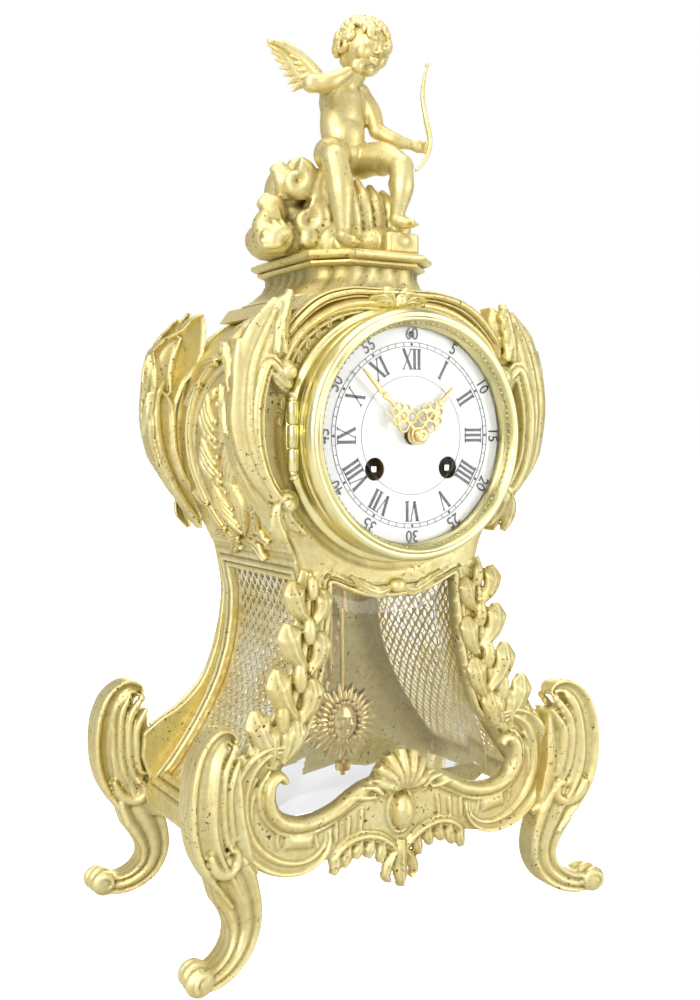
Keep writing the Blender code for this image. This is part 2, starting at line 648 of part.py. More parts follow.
def meet(p, r, q, s, upper):
    """Where two circles cross, taking the higher crossing if upper is set."""
    dx, dz = q[0] - p[0], q[1] - p[1]
    d = math.hypot(dx, dz)
    a = (r * r - s * s + d * d) / (2 * d)
    h = math.sqrt(max(r * r - a * a, 0.0))
    ux, uz = dx / d, dz / d
    spots = [(p[0] + a * ux - h * uz, p[1] + a * uz + h * ux),
             (p[0] + a * ux + h * uz, p[1] + a * uz - h * ux)]
    return max(spots, key=lambda c: c[1]) if upper else min(spots, key=lambda c: c[1])


SECOND = meet(CENTRE, apart(SECOND_TEETH, CENTRE_LEAVES, SECOND_MODULE),
              GOING, apart(GREAT_TEETH, SECOND_LEAVES, GREAT_MODULE), True)
STRIKE_SECOND = (-SECOND[0], SECOND[1])
THIRD = (0.0, apart(CENTRE_TEETH, THIRD_LEAVES, CENTRE_MODULE))
ESCAPE = (0.0, THIRD[1] + apart(THIRD_TEETH, ESCAPE_LEAVES, THIRD_MODULE))
PALLET = (0.0, SUSPENSION_Z)
MINUTE = (0.0, -apart(CANNON_LEAVES, MINUTE_TEETH, CANNON_MODULE))
PIN_ANGLE = math.radians(100)
PIN_REACH = apart(SECOND_TEETH, PIN_LEAVES, PIN_MODULE)
PIN_WHEEL = (STRIKE_SECOND[0] + PIN_REACH * math.cos(PIN_ANGLE),
             STRIKE_SECOND[1] + PIN_REACH * math.sin(PIN_ANGLE))
HAMMER = (-33.0, 18.0)
PILLARS = [(-26, 28), (26, 28), (-10, -37), (10, -37)]


def toothed(name, teeth, module, at, y0, y1, towards, tooth_on_line, mat=BRASS):
    """Wheel or pinion; a tooth (or a gap) points towards another centre."""
    pitch = teeth * module / 2
    base = math.atan2(towards[1] - at[1], towards[0] - at[0])
    if not tooth_on_line:
        base += math.pi / teeth
    outline = []
    for k in range(teeth):
        a = base + 2 * math.pi * k / teeth
        b = a + math.pi / teeth
        outline.append(((pitch + 0.5 * module) * math.cos(a), (pitch + 0.5 * module) * math.sin(a)))
        outline.append(((pitch - 1.5 * module) * math.cos(b), (pitch - 1.5 * module) * math.sin(b)))
    shifted = [(at[0] + x, DIAL_Z + at[1] + z) for x, z in outline]
    return prism(name, shifted, y0, y1, mat)


def axle(name, at, y0, y1, radius=ARBOR_R, mat=STEEL):
    """Arbor along Y."""
    return rod(name, at[0], DIAL_Z + at[1], y0, y1, radius, mat, 7)


def deep(distance):
    """Position behind the front plate."""
    return PLATE_REAR + distance


def on_axis(made, at):
    """Origin on the arbor."""
    return pivot(made, at[0], PLATE_REAR, DIAL_Z + at[1])


GREAT_AT, DRUM_FROM, DRUM_TO = 2.5, 4.4, 22.0
SECOND_AT, STRIKE_SECOND_AT, CENTRE_AT = 28.0, 24.0, 31.5
THIRD_AT, ESCAPE_AT, PIN_AT = 19.0, 9.0, 16.0
through = (PLATE_FRONT, BACK_PLATE_REAR)

for barrel_name, arbor_name, at, second in (
        ("going_barrel", "going_winding_arbor", GOING, SECOND),
        ("strike_barrel", "strike_winding_arbor", STRIKE, STRIKE_SECOND)):
    barrel = toothed(barrel_name, GREAT_TEETH, GREAT_MODULE, at, deep(GREAT_AT), deep(GREAT_AT + 2),
                     second, False)
    fuse(barrel, rod("drum", at[0], DIAL_Z + at[1], deep(GREAT_AT + 1), deep(DRUM_TO), BARREL_R,
                     BRASS, 20))
    bore(barrel, rod("bore", at[0], DIAL_Z + at[1], deep(0), deep(30), WINDING_R + RUNNING, BRASS, 12))
    on_axis(barrel, at)
    arbor = axle(arbor_name, at, PLATE_FRONT - 3, BACK_PLATE_REAR, WINDING_R)
    half = 1.25
    fuse(arbor, block("square", at[0] - half, at[0] + half, DIAL_FACE + 0.8, PLATE_FRONT - 2,
                      DIAL_Z + at[1] - half, DIAL_Z + at[1] + half, STEEL))
    fuse(arbor, toothed("ratchet", 24, 0.42, at, PLATE_FRONT - 2, PLATE_FRONT - 0.6, CENTRE, True,
                        STEEL))
    on_axis(arbor, at)

second = axle("second_wheel", SECOND, *through)
fuse(second, toothed("w", SECOND_TEETH, SECOND_MODULE, SECOND, deep(SECOND_AT),
                     deep(SECOND_AT + WHEEL), CENTRE, False),
     toothed("p", SECOND_LEAVES, GREAT_MODULE, SECOND, deep(GREAT_AT - 1), deep(GREAT_AT + 3),
             GOING, True, STEEL))
on_axis(second, SECOND)

centre = axle("centre_wheel", CENTRE, deep(0.5), BACK_PLATE_REAR)
fuse(centre, axle("front", CENTRE, DIAL_FACE - 8.2, deep(1.5), 1.0),
     toothed("w", CENTRE_TEETH, CENTRE_MODULE, CENTRE, deep(CENTRE_AT), deep(CENTRE_AT + WHEEL),
             THIRD, False),
     toothed("p", CENTRE_LEAVES, SECOND_MODULE, CENTRE, deep(SECOND_AT - 1), deep(SECOND_AT + 2.6),
             SECOND, True, STEEL),
     toothed("c", CANNON_LEAVES, CANNON_MODULE, CENTRE, PLATE_FRONT - 4, PLATE_FRONT - 1,
             MINUTE, True, STEEL))
on_axis(centre, CENTRE)

third = axle("third_wheel", THIRD, *through)
fuse(third, toothed("w", THIRD_TEETH, THIRD_MODULE, THIRD, deep(THIRD_AT), deep(THIRD_AT + WHEEL),
                    ESCAPE, False),
     toothed("p", THIRD_LEAVES, CENTRE_MODULE, THIRD, deep(CENTRE_AT - 1), deep(CENTRE_AT + 2.5),
             CENTRE, True, STEEL))
on_axis(third, THIRD)

escape = axle("escape_wheel", ESCAPE, *through)
points = []
for k in range(ESCAPE_TEETH):
    a = 2 * math.pi * k / ESCAPE_TEETH
    b = a + 0.35 * 2 * math.pi / ESCAPE_TEETH
    points.append((ESCAPE_R * math.cos(a), DIAL_Z + ESCAPE[1] + ESCAPE_R * math.sin(a)))
    points.append(((ESCAPE_R - 1.5) * math.cos(b), DIAL_Z + ESCAPE[1] + (ESCAPE_R - 1.5) * math.sin(b)))
fuse(escape, prism("w", points, deep(ESCAPE_AT), deep(ESCAPE_AT + 1), BRASS),
     toothed("p", ESCAPE_LEAVES, THIRD_MODULE, ESCAPE, deep(THIRD_AT - 1), deep(THIRD_AT + 2.5),
             THIRD, True, STEEL))
on_axis(escape, ESCAPE)

minute = toothed("minute_wheel", MINUTE_TEETH, CANNON_MODULE, MINUTE, PLATE_FRONT - 3,
                 PLATE_FRONT - 2, CENTRE, False)
fuse(minute, toothed("p", MINUTE_LEAVES, HOUR_MODULE, MINUTE, PLATE_FRONT - 7, PLATE_FRONT - 2.5,
                     CENTRE, True, STEEL))
bore(minute, rod("bore", 0, DIAL_Z + MINUTE[1], PLATE_FRONT - 9, PLATE_FRONT, 0.6 + RUNNING, BRASS, 8))
on_axis(minute, MINUTE)

PIPE_IN = 1.0 + RUNNING
hour = toothed("hour_wheel", HOUR_TEETH, HOUR_MODULE, CENTRE, PLATE_FRONT - 6.5, PLATE_FRONT - 5.3,
               MINUTE, False)
fuse(hour, rod("pipe", 0, DIAL_Z, DIAL_FACE - 4.2, PLATE_FRONT - 4.4, 2.2, BRASS, 12))
bore(hour, rod("bore", 0, DIAL_Z, DIAL_FACE - 10, PLATE_FRONT, PIPE_IN, BRASS, 12))
on_axis(hour, CENTRE)

# ------------------------------------------------------------------ striking train
strike_second = axle("strike_second_wheel", STRIKE_SECOND, PLATE_FRONT, BACK_PLATE_REAR + 5)
fuse(strike_second,
     toothed("w", SECOND_TEETH, SECOND_MODULE, STRIKE_SECOND, deep(STRIKE_SECOND_AT),
             deep(STRIKE_SECOND_AT + WHEEL), PIN_WHEEL, False),
     toothed("p", SECOND_LEAVES, GREAT_MODULE, STRIKE_SECOND, deep(GREAT_AT - 1),
             deep(GREAT_AT + 3), STRIKE, True, STEEL))
count_line = []
for k in range(24):
    a = 2 * math.pi * k / 24
    r = 8.4 if k % 4 else 7.2
    count_line.append((STRIKE_SECOND[0] + r * math.cos(a), DIAL_Z + STRIKE_SECOND[1] + r * math.sin(a)))
fuse(strike_second, prism("count", count_line, BACK_PLATE_REAR + 2.5, BACK_PLATE_REAR + 3.5, BRASS))
on_axis(strike_second, STRIKE_SECOND)

pin_wheel = axle("strike_pin_wheel", PIN_WHEEL, *through)
fuse(pin_wheel, rod("w", PIN_WHEEL[0], DIAL_Z + PIN_WHEEL[1], deep(PIN_AT), deep(PIN_AT + WHEEL), 8.5,
                    BRASS, 20),
     toothed("p", PIN_LEAVES, PIN_MODULE, PIN_WHEEL, deep(STRIKE_SECOND_AT - 1),
             deep(STRIKE_SECOND_AT + 2.5), STRIKE_SECOND, True, STEEL))
for k in range(8):
    a = 2 * math.pi * k / 8
    fuse(pin_wheel, rod("pin", PIN_WHEEL[0] + 7 * math.cos(a), DIAL_Z + PIN_WHEEL[1] + 7 * math.sin(a),
                        deep(PIN_AT - 3), deep(PIN_AT + 0.5), 0.45, STEEL, 6))
on_axis(pin_wheel, PIN_WHEEL)

# ------------------------------------------------------------------ plates
front_plate = rod("front_plate", 0, DIAL_Z, PLATE_FRONT, PLATE_REAR, PLATE_R, BRASS, 32)
back_plate = rod("back_plate", 0, DIAL_Z, BACK_PLATE, BACK_PLATE_REAR, PLATE_R, BRASS, 32)
for x, z in PILLARS:
    fuse(front_plate, rod("pillar", x, DIAL_Z + z, PLATE_REAR - 0.5, BACK_PLATE - GAP, PILLAR_R,
                          BRASS, 8))
fuse(front_plate, rod("stud", MINUTE[0], DIAL_Z + MINUTE[1], PLATE_FRONT - 7.6, PLATE_REAR - 0.5, 0.6,
                      STEEL, 8))
fine = ARBOR_R + RUNNING
shared = [(SECOND, fine), (THIRD, fine), (ESCAPE, fine), (PALLET, fine), (STRIKE_SECOND, fine),
          (PIN_WHEEL, fine), (HAMMER, fine), (GOING, WINDING_R + RUNNING),
          (STRIKE, WINDING_R + RUNNING)]
for plate, centre_room in ((front_plate, 1.0 + RUNNING), (back_plate, fine)):
    drills = [rod("drill", at[0], DIAL_Z + at[1], -80, 40, r, BRASS, 7) for at, r in shared]
    drills.append(rod("drill", 0, DIAL_Z, -80, 40, centre_room, BRASS, 7))
    bore(plate, gather("drills", drills, BRASS))

# ------------------------------------------------------------------ dial and hands
dial = turned("dial", [(4, DIAL_FACE), (DIAL_R, DIAL_FACE), (DIAL_R, DIAL_FACE + DIAL_SHEET),
                       (4, DIAL_FACE + DIAL_SHEET)], (0, 0, DIAL_Z), ENAMEL, "Y", 40)
for sign in (-1, 1):
    bore(dial, rod("hole", sign * BARREL_X, DIAL_Z + BARREL_Z, DIAL_FACE - 3, DIAL_FACE + 4, 5.0,
                   ENAMEL, 20))
for angle in (math.radians(60), math.radians(180), math.radians(300)):
    fuse(dial, rod("foot", 36 * math.cos(angle), DIAL_Z + 36 * math.sin(angle), DIAL_FACE + 0.8,
                   PLATE_FRONT - GAP, 1.2, BRASS, 8))
bore(dial, rod("regulator", 0, DIAL_Z + 44.6, DIAL_FACE - 3, DIAL_FACE + 4, 1.5, ENAMEL, 10))


def hand(name, length, angle, y0, y1, hub, room):
    """Pointer with a pierced heart, drawn upright and then turned to its rest angle."""
    half = [(0, length), (0.7, length * 0.8), (0.9, length * 0.52), (3.2, length * 0.44),
            (4.2, length * 0.33), (3.0, length * 0.22), (1.1, length * 0.15), (1.1, 0)]
    made = prism(name, mirrored(half, False), y0, y1, HANDS)
    made.data.transform(Matrix.Rotation(angle, 4, "Y"))
    made.data.transform(Matrix.Translation(Vector((0, 0, DIAL_Z)) * MM))
    fuse(made, rod("hub", 0, DIAL_Z, y0 - 0.3, y1 + 0.3, hub, HANDS, 16))
    bore(made, rod("room", 0, DIAL_Z, y0 - 5, y1 + 5, room, HANDS, 12))
    return on_axis(made, CENTRE)


hand("hour_hand", 30, math.radians(43), DIAL_FACE - 3.6, DIAL_FACE - 2.8, 4.4, 2.2 + GAP)
hand("minute_hand", 41, math.radians(-45), DIAL_FACE - 6.2, DIAL_FACE - 5.4, 3.6, 1.0 + GAP)
collet = rod("hand_collet", 0, DIAL_Z, DIAL_FACE - 9.2, DIAL_FACE - 6.2 - 2 * GAP, 3.2, BRASS, 16)
bore(collet, rod("room", 0, DIAL_Z, DIAL_FACE - 8.6, DIAL_FACE, 1.0 + GAP, BRASS, 12))
on_axis(collet, CENTRE)

# ------------------------------------------------------------------ pallets and crutch
FORK_Z = 10.0
anchor_line = [(0, 39.3), (4, 38.6), (9.3, 34), (9.9, 30.9), (8.6, 30.6), (7.6, 33), (3.4, 35.6),
               (0, 36)]
anchor = axle("pallet_anchor", PALLET, PLATE_FRONT, BACK_PLATE_REAR + 4)
fuse(anchor, prism("arms", [(x, DIAL_Z + z) for x, z in mirrored(anchor_line, False)],
                   deep(ESCAPE_AT - 0.4), deep(ESCAPE_AT + 1.4), STEEL))
arm_y = BACK_PLATE_REAR + 2.2
crutch = block("crutch", -1.1, 1.1, arm_y, arm_y + 1.3, DIAL_Z + FORK_Z, DIAL_Z + PALLET[1] + 1.2, STEEL)
fork = block("fork", -2.6, 2.6, arm_y + 0.2, PENDULUM_Y + 3, DIAL_Z + FORK_Z - 1, DIAL_Z + FORK_Z + 1,
             STEEL)
slot = block("slot", -1.6, 1.6, PENDULUM_Y - 3, PENDULUM_Y + 6, DIAL_Z, DIAL_Z + 20, STEEL)
bore(fork, slot)
fuse(crutch, fork)
fuse(anchor, crutch)
pivot(anchor, 0, PENDULUM_Y, DIAL_Z + SUSPENSION_Z)

# ------------------------------------------------------------------ suspension and pendulum
cock_z = DIAL_Z + SUSPENSION_Z + 2.4
cock = block("suspension_cock", -5, 5, BACK_PLATE_REAR + GAP, PENDULUM_Y + 4, cock_z, cock_z + 4.5,
             BRASS)
bore(cock, block("slot", -0.9, 0.9, PENDULUM_Y - 2.5, PENDULUM_Y + 2.5, cock_z - 2, cock_z + 7, BRASS))
rod_top = DIAL_Z + SUSPENSION_Z - 4.4
spring = block("suspension_spring", -0.2, 0.2, PENDULUM_Y - 2, PENDULUM_Y + 2, rod_top + GAP,
               cock_z + 2.6, STEEL)
pendulum_rod = turned("pendulum_rod", [(0, BOB_Z - 27), (1.2, BOB_Z - 27), (1.2, rod_top - 4),
                                       (2.2, rod_top - 3), (2.2, rod_top), (0, rod_top)],
                      (0, PENDULUM_Y, 0), STEEL, "Z", 8)
bob_line = [(0, -7), (8, -6.4), (14, -4), (BOB_R, -1.2), (BOB_R, 0.8), (14, 3), (8, 4.6), (0, 5)]
bob = turned("pendulum_bob", [(r, PENDULUM_Y + y) for r, y in bob_line], (0, 0, BOB_Z), HANDS, "Y", 24)
bore(bob, turned("room", [(0, BOB_Z - 30), (1.5, BOB_Z - 30), (1.5, BOB_Z + 30), (0, BOB_Z + 30)],
                 (0, PENDULUM_Y, 0), HANDS, "Z", 12))
nut_top = BOB_Z - BOB_R - GAP
nut = turned("rating_nut", [(1.5, nut_top - 4), (3.8, nut_top - 4), (3.8, nut_top), (1.5, nut_top)],
             (0, PENDULUM_Y, 0), BRASS, "Z", 16)
for piece in (spring, pendulum_rod, bob, nut):
    pivot(piece, 0, PENDULUM_Y, DIAL_Z + SUSPENSION_Z)

# ------------------------------------------------------------------ bell, stand and hammer
bell_y = PENDULUM_Y + 11
bell_line = [(0, 22), (6, 21.4), (16, 18), (23, 11), (27, 4), (BELL_R, 0), (BELL_R - 1.6, 0.2),
             (25.6, 4.4), (21.6, 10.6), (15, 16.6), (6, 19.8), (0, 20.4)]
bell = turned("bell", [(r, bell_y + y) for r, y in bell_line], (0, 0, DIAL_Z), BELL_METAL, "Y", 24)
crown = bell_y + 22 + GAP
stand = tube("bell_stand", [(-14, BACK_PLATE_REAR + GAP, DIAL_Z - 33), (-14, crown - 2, DIAL_Z - 34),
                            (-13.5, crown + 1.6, DIAL_Z - 33.5), (-11, crown + 2.2, DIAL_Z - 27),
                            (0, crown + 2.2, DIAL_Z)], [2, 2, 2, 2, 2], BRASS, 8)
fuse(stand, rod("boss", 0, DIAL_Z, crown, crown + 4, 4.5, BRASS, 16))

hammer = axle("hammer", HAMMER, PLATE_FRONT, bell_y + 5)
head_x = -BELL_R - 4.6
arm = tube("arm", [(HAMMER[0], bell_y + 3, DIAL_Z + HAMMER[1]), (head_x, bell_y + 3, DIAL_Z - 1)],
           [1.1, 1.0], STEEL, 8)
head = turned("head", [(0, head_x - 3), (2.8, head_x - 3), (3.2, head_x), (2.8, head_x + 3),
                       (0, head_x + 3)], (0, bell_y + 3, DIAL_Z - 1), BRASS, "X", 12)
tail = block("tail", HAMMER[0], HAMMER[0] + 8, deep(PIN_AT - 2.4), deep(PIN_AT - 0.8),
             DIAL_Z + HAMMER[1] - 0.7, DIAL_Z + HAMMER[1] + 0.7, STEEL)
fuse(hammer, arm, head, tail)
on_axis(hammer, HAMMER)
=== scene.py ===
"""Looks of the rococo mantel clock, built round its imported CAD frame."""
import math

import bmesh
import bpy
import numpy as np
from mathutils import Matrix, Vector


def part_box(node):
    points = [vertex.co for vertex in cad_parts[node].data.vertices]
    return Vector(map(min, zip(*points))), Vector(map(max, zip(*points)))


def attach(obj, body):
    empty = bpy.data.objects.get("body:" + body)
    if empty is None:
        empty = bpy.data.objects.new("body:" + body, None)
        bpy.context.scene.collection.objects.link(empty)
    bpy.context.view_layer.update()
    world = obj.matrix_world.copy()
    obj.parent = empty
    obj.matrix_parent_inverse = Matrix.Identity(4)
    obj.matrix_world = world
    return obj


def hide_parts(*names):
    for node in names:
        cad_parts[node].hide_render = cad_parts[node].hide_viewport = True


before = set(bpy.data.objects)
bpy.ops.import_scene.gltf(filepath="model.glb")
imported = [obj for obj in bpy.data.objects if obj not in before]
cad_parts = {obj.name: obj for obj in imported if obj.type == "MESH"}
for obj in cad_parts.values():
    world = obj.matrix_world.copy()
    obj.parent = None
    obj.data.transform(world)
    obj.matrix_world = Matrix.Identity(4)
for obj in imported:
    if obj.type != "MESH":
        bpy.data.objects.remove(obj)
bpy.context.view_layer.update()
MM = 0.001

# ------------------------------------------------------------------ places taken from the frame
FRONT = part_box("front_panel")[0][1] / MM
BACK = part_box("back_panel")[1][1] / MM
DIAL_LOW, DIAL_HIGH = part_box("dial")
DIAL_Z = (DIAL_LOW[2] + DIAL_HIGH[2]) / 2 / MM
SEAT_DEEP = 11.0
SEAT_FRONT = FRONT - SEAT_DEEP
SEAT_BACK = BACK + SEAT_DEEP
HINGE_X = 57.3
SLAB_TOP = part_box("pedestal")[1][2] / MM
BOB_LOW, BOB_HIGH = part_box("pendulum_bob")
BOB_Z = (BOB_LOW[2] + BOB_HIGH[2]) / 2 / MM
UNDERSIDE = 999.0  # a height of minus this asks a surface for its back


# ------------------------------------------------------------------ materials


def shader(name):
    """New node material and its Principled shader."""
    made = bpy.data.materials.new(name)
    made.use_nodes = True
    return made, made.node_tree, made.node_tree.nodes["Principled BSDF"]


def noise(tree, scale, detail=4.0, rough=0.55):
    """Noise in object coordinates, its scale per metre."""
    where = tree.nodes.new("ShaderNodeTexCoord")
    node = tree.nodes.new("ShaderNodeTexNoise")
    node.inputs["Scale"].default_value = scale
    node.inputs["Detail"].default_value = detail
    node.inputs["Roughness"].default_value = rough
    tree.links.new(where.outputs["Object"], node.inputs["Vector"])
    return node


def ramp(tree, source, stops):
    """Colour ramp fed by a socket."""
    node = tree.nodes.new("ShaderNodeValToRGB")
    while len(node.color_ramp.elements) < len(stops):
        node.color_ramp.elements.new(0.5)
    for element, (place, colour) in zip(node.color_ramp.elements, stops):
        element.position = place
        element.color = (*colour, 1.0) if len(colour) == 3 else colour
    tree.links.new(source, node.inputs["Fac"])
    return node


def mix(tree, factor, a, b, mode="MIX"):
    """Colour mix; a and b are sockets or colours."""
    node = tree.nodes.new("ShaderNodeMix")
    node.data_type = "RGBA"
    node.blend_type = mode
    for spot, value in ((0, factor), (6, a), (7, b)):
        if isinstance(value, bpy.types.NodeSocket):
            tree.links.new(value, node.inputs[spot])
        elif isinstance(value, float):
            node.inputs[spot].default_value = value
        else:
            node.inputs[spot].default_value = (*value, 1.0)
    return node.outputs[2]


def gilt(name, light, deep, rough, pits=0.5, bump=0.25, grain=420.0, warm=(0.84, 0.70, 0.32)):
    """Cast gilt bronze: cloudy tone, painted shade in the hollows, dark pits and a fine satin grain."""
    made, tree, lamp = shader(name)
    lamp.inputs["Metallic"].default_value = 1.0
    cloud = noise(tree, 45.0, 6.0)
    fine = noise(tree, 260.0, 8.0, 0.65)
    pit = noise(tree, 620.0, 2.0, 0.5)
    patch = noise(tree, 60.0, 3.0)
    # Painted shade: a pointiness ramp darkens hollows, and flat faces a little, towards the deep colour;
    # edges keep the full tone.
    shape = tree.nodes.new("ShaderNodeNewGeometry")
    edge = ramp(tree, shape.outputs["Pointiness"],
                [(0.440, (0.0, 0.0, 0.0)), (0.492, (0.72, 0.72, 0.72)), (0.530, (1.0, 1.0, 1.0))])
    tone = mix(tree, ramp(tree, cloud.outputs["Fac"],
                          [(0.35, (0.0,) * 3), (0.68, (1.0,) * 3)]).outputs["Color"], light, warm)
    # deep is the colour of the painted shade in the hollows.
    tone = mix(tree, edge.outputs["Color"], deep, tone)
    shade = ramp(tree, fine.outputs["Fac"], [(0.30, (0.86,) * 3), (0.62, (1.0,) * 3)])
    tone = mix(tree, 1.0, tone, shade.outputs["Color"], "MULTIPLY")
    where = tree.nodes.new("ShaderNodeMath")
    where.operation = "MULTIPLY"
    spots = ramp(tree, pit.outputs["Fac"], [(0.63, (0.0,) * 3), (0.68, (1.0,) * 3)])
    patches = ramp(tree, patch.outputs["Fac"], [(0.45, (0.0,) * 3), (0.58, (1.0,) * 3)])
    tree.links.new(spots.outputs["Color"], where.inputs[0])
    tree.links.new(patches.outputs["Color"], where.inputs[1])
    amount = tree.nodes.new("ShaderNodeMath")
    amount.operation = "MULTIPLY"
    amount.inputs[1].default_value = pits
    tree.links.new(where.outputs[0], amount.inputs[0])
    tone = mix(tree, amount.outputs[0], tone, (0.10, 0.07, 0.03))
    tree.links.new(tone, lamp.inputs["Base Color"])
    polish = ramp(tree, fine.outputs["Fac"], [(0.3, (rough + 0.10,) * 3), (0.7, (rough - 0.06,) * 3)])
    tree.links.new(polish.outputs["Color"], lamp.inputs["Roughness"])
    raised = tree.nodes.new("ShaderNodeBump")
    raised.inputs["Strength"].default_value = bump
    raised.inputs["Distance"].default_value = 0.0004
    rub = noise(tree, grain, 5.0, 0.6)
    tree.links.new(rub.outputs["Fac"], raised.inputs["Height"])
    tree.links.new(raised.outputs["Normal"], lamp.inputs["Normal"])
    return made


def plain_metal(name, colour, rough, tint=0.08, metallic=1.0):
    """Smooth metal with faint clouding and fine scratches."""
    made, tree, lamp = shader(name)
    lamp.inputs["Metallic"].default_value = metallic
    cloud = noise(tree, 90.0, 6.0)
    dark = tuple(c * (1 - tint * 2) for c in colour)
    tone = ramp(tree, cloud.outputs["Fac"], [(0.3, dark), (0.65, colour)])
    tree.links.new(tone.outputs["Color"], lamp.inputs["Base Color"])
    fine = noise(tree, 700.0, 4.0)
    polish = ramp(tree, fine.outputs["Fac"], [(0.3, (rough + 0.08,) * 3), (0.7, (rough,) * 3)])
    tree.links.new(polish.outputs["Color"], lamp.inputs["Roughness"])
    raised = tree.nodes.new("ShaderNodeBump")
    raised.inputs["Strength"].default_value = 0.08
    raised.inputs["Distance"].default_value = 0.0002
    tree.links.new(fine.outputs["Fac"], raised.inputs["Height"])
    tree.links.new(raised.outputs["Normal"], lamp.inputs["Normal"])
    return made


def glass(name, tint, rough=0.0, ior=1.5):
    """Clear glass with a faint ripple."""
    made, tree, lamp = shader(name)
    lamp.inputs["Base Color"].default_value = (*tint, 1.0)
    lamp.inputs["Transmission Weight"].default_value = 1.0
    lamp.inputs["IOR"].default_value = ior
    lamp.inputs["Roughness"].default_value = rough
    ripple = noise(tree, 30.0, 2.0)
    raised = tree.nodes.new("ShaderNodeBump")
    raised.inputs["Strength"].default_value = 0.02
    raised.inputs["Distance"].default_value = 0.0003
    tree.links.new(ripple.outputs["Fac"], raised.inputs["Height"])
    tree.links.new(raised.outputs["Normal"], lamp.inputs["Normal"])
    return made


def glazed(name, colour, rough):
    """Fired enamel: slight warmth and a coat of glaze."""
    made, tree, lamp = shader(name)
    cloud = noise(tree, 60.0, 4.0)
    tone = ramp(tree, cloud.outputs["Fac"], [(0.3, tuple(c * 0.97 for c in colour)), (0.7, colour)])
    tree.links.new(tone.outputs["Color"], lamp.inputs["Base Color"])
    lamp.inputs["Roughness"].default_value = rough
    lamp.inputs["Coat Weight"].default_value = 0.6
    lamp.inputs["Coat Roughness"].default_value = 0.05
    raised = tree.nodes.new("ShaderNodeBump")
    raised.inputs["Strength"].default_value = 0.03
    raised.inputs["Distance"].default_value = 0.0002
    tree.links.new(cloud.outputs["Fac"], raised.inputs["Height"])
    tree.links.new(raised.outputs["Normal"], lamp.inputs["Normal"])
    return made


# The second colour of each gilt is the painted shade of its hollows.
GILT = gilt("gilt_cast", (0.89, 0.81, 0.44), (0.24, 0.19, 0.05), 0.50, 0.95, 0.42)
GILT_FIGURE = gilt("gilt_figure", (0.88, 0.79, 0.41), (0.30, 0.23, 0.07), 0.48, 0.45, 0.22)
# Painted light: a paler copy of the cast gilt, its colours raised so the recessed grille sheet reads bright
# despite its shade.
GILT_SHEET_PAINTED_LIGHT = gilt("gilt_sheet_painted_light", (1.0, 0.95, 0.74), (0.80, 0.72, 0.46), 0.46, 0.10, 0.10)
BEZEL = plain_metal("gilt_turned", (0.90, 0.82, 0.42), 0.27)
BRIGHT = plain_metal("gilt_bright", (0.95, 0.77, 0.36), 0.26)
BRASS = plain_metal("brass_lacquered", (0.80, 0.60, 0.24), 0.26)
STEEL = plain_metal("steel_polished", (0.55, 0.56, 0.58), 0.26)
BELL = plain_metal("bell_bronze", (0.74, 0.64, 0.40), 0.28)
ENAMEL = glazed("enamel_white", (0.93, 0.93, 0.92), 0.12)
INK = glazed("enamel_ink", (0.045, 0.045, 0.05), 0.25)
DOME = glass("glass_dome", (0.99, 0.995, 0.995), 0.0, 1.12)
PANE = glass("glass_bevelled", (0.93, 0.95, 0.97), 0.0, 1.45)


# ------------------------------------------------------------------ geometry kit (millimetres)


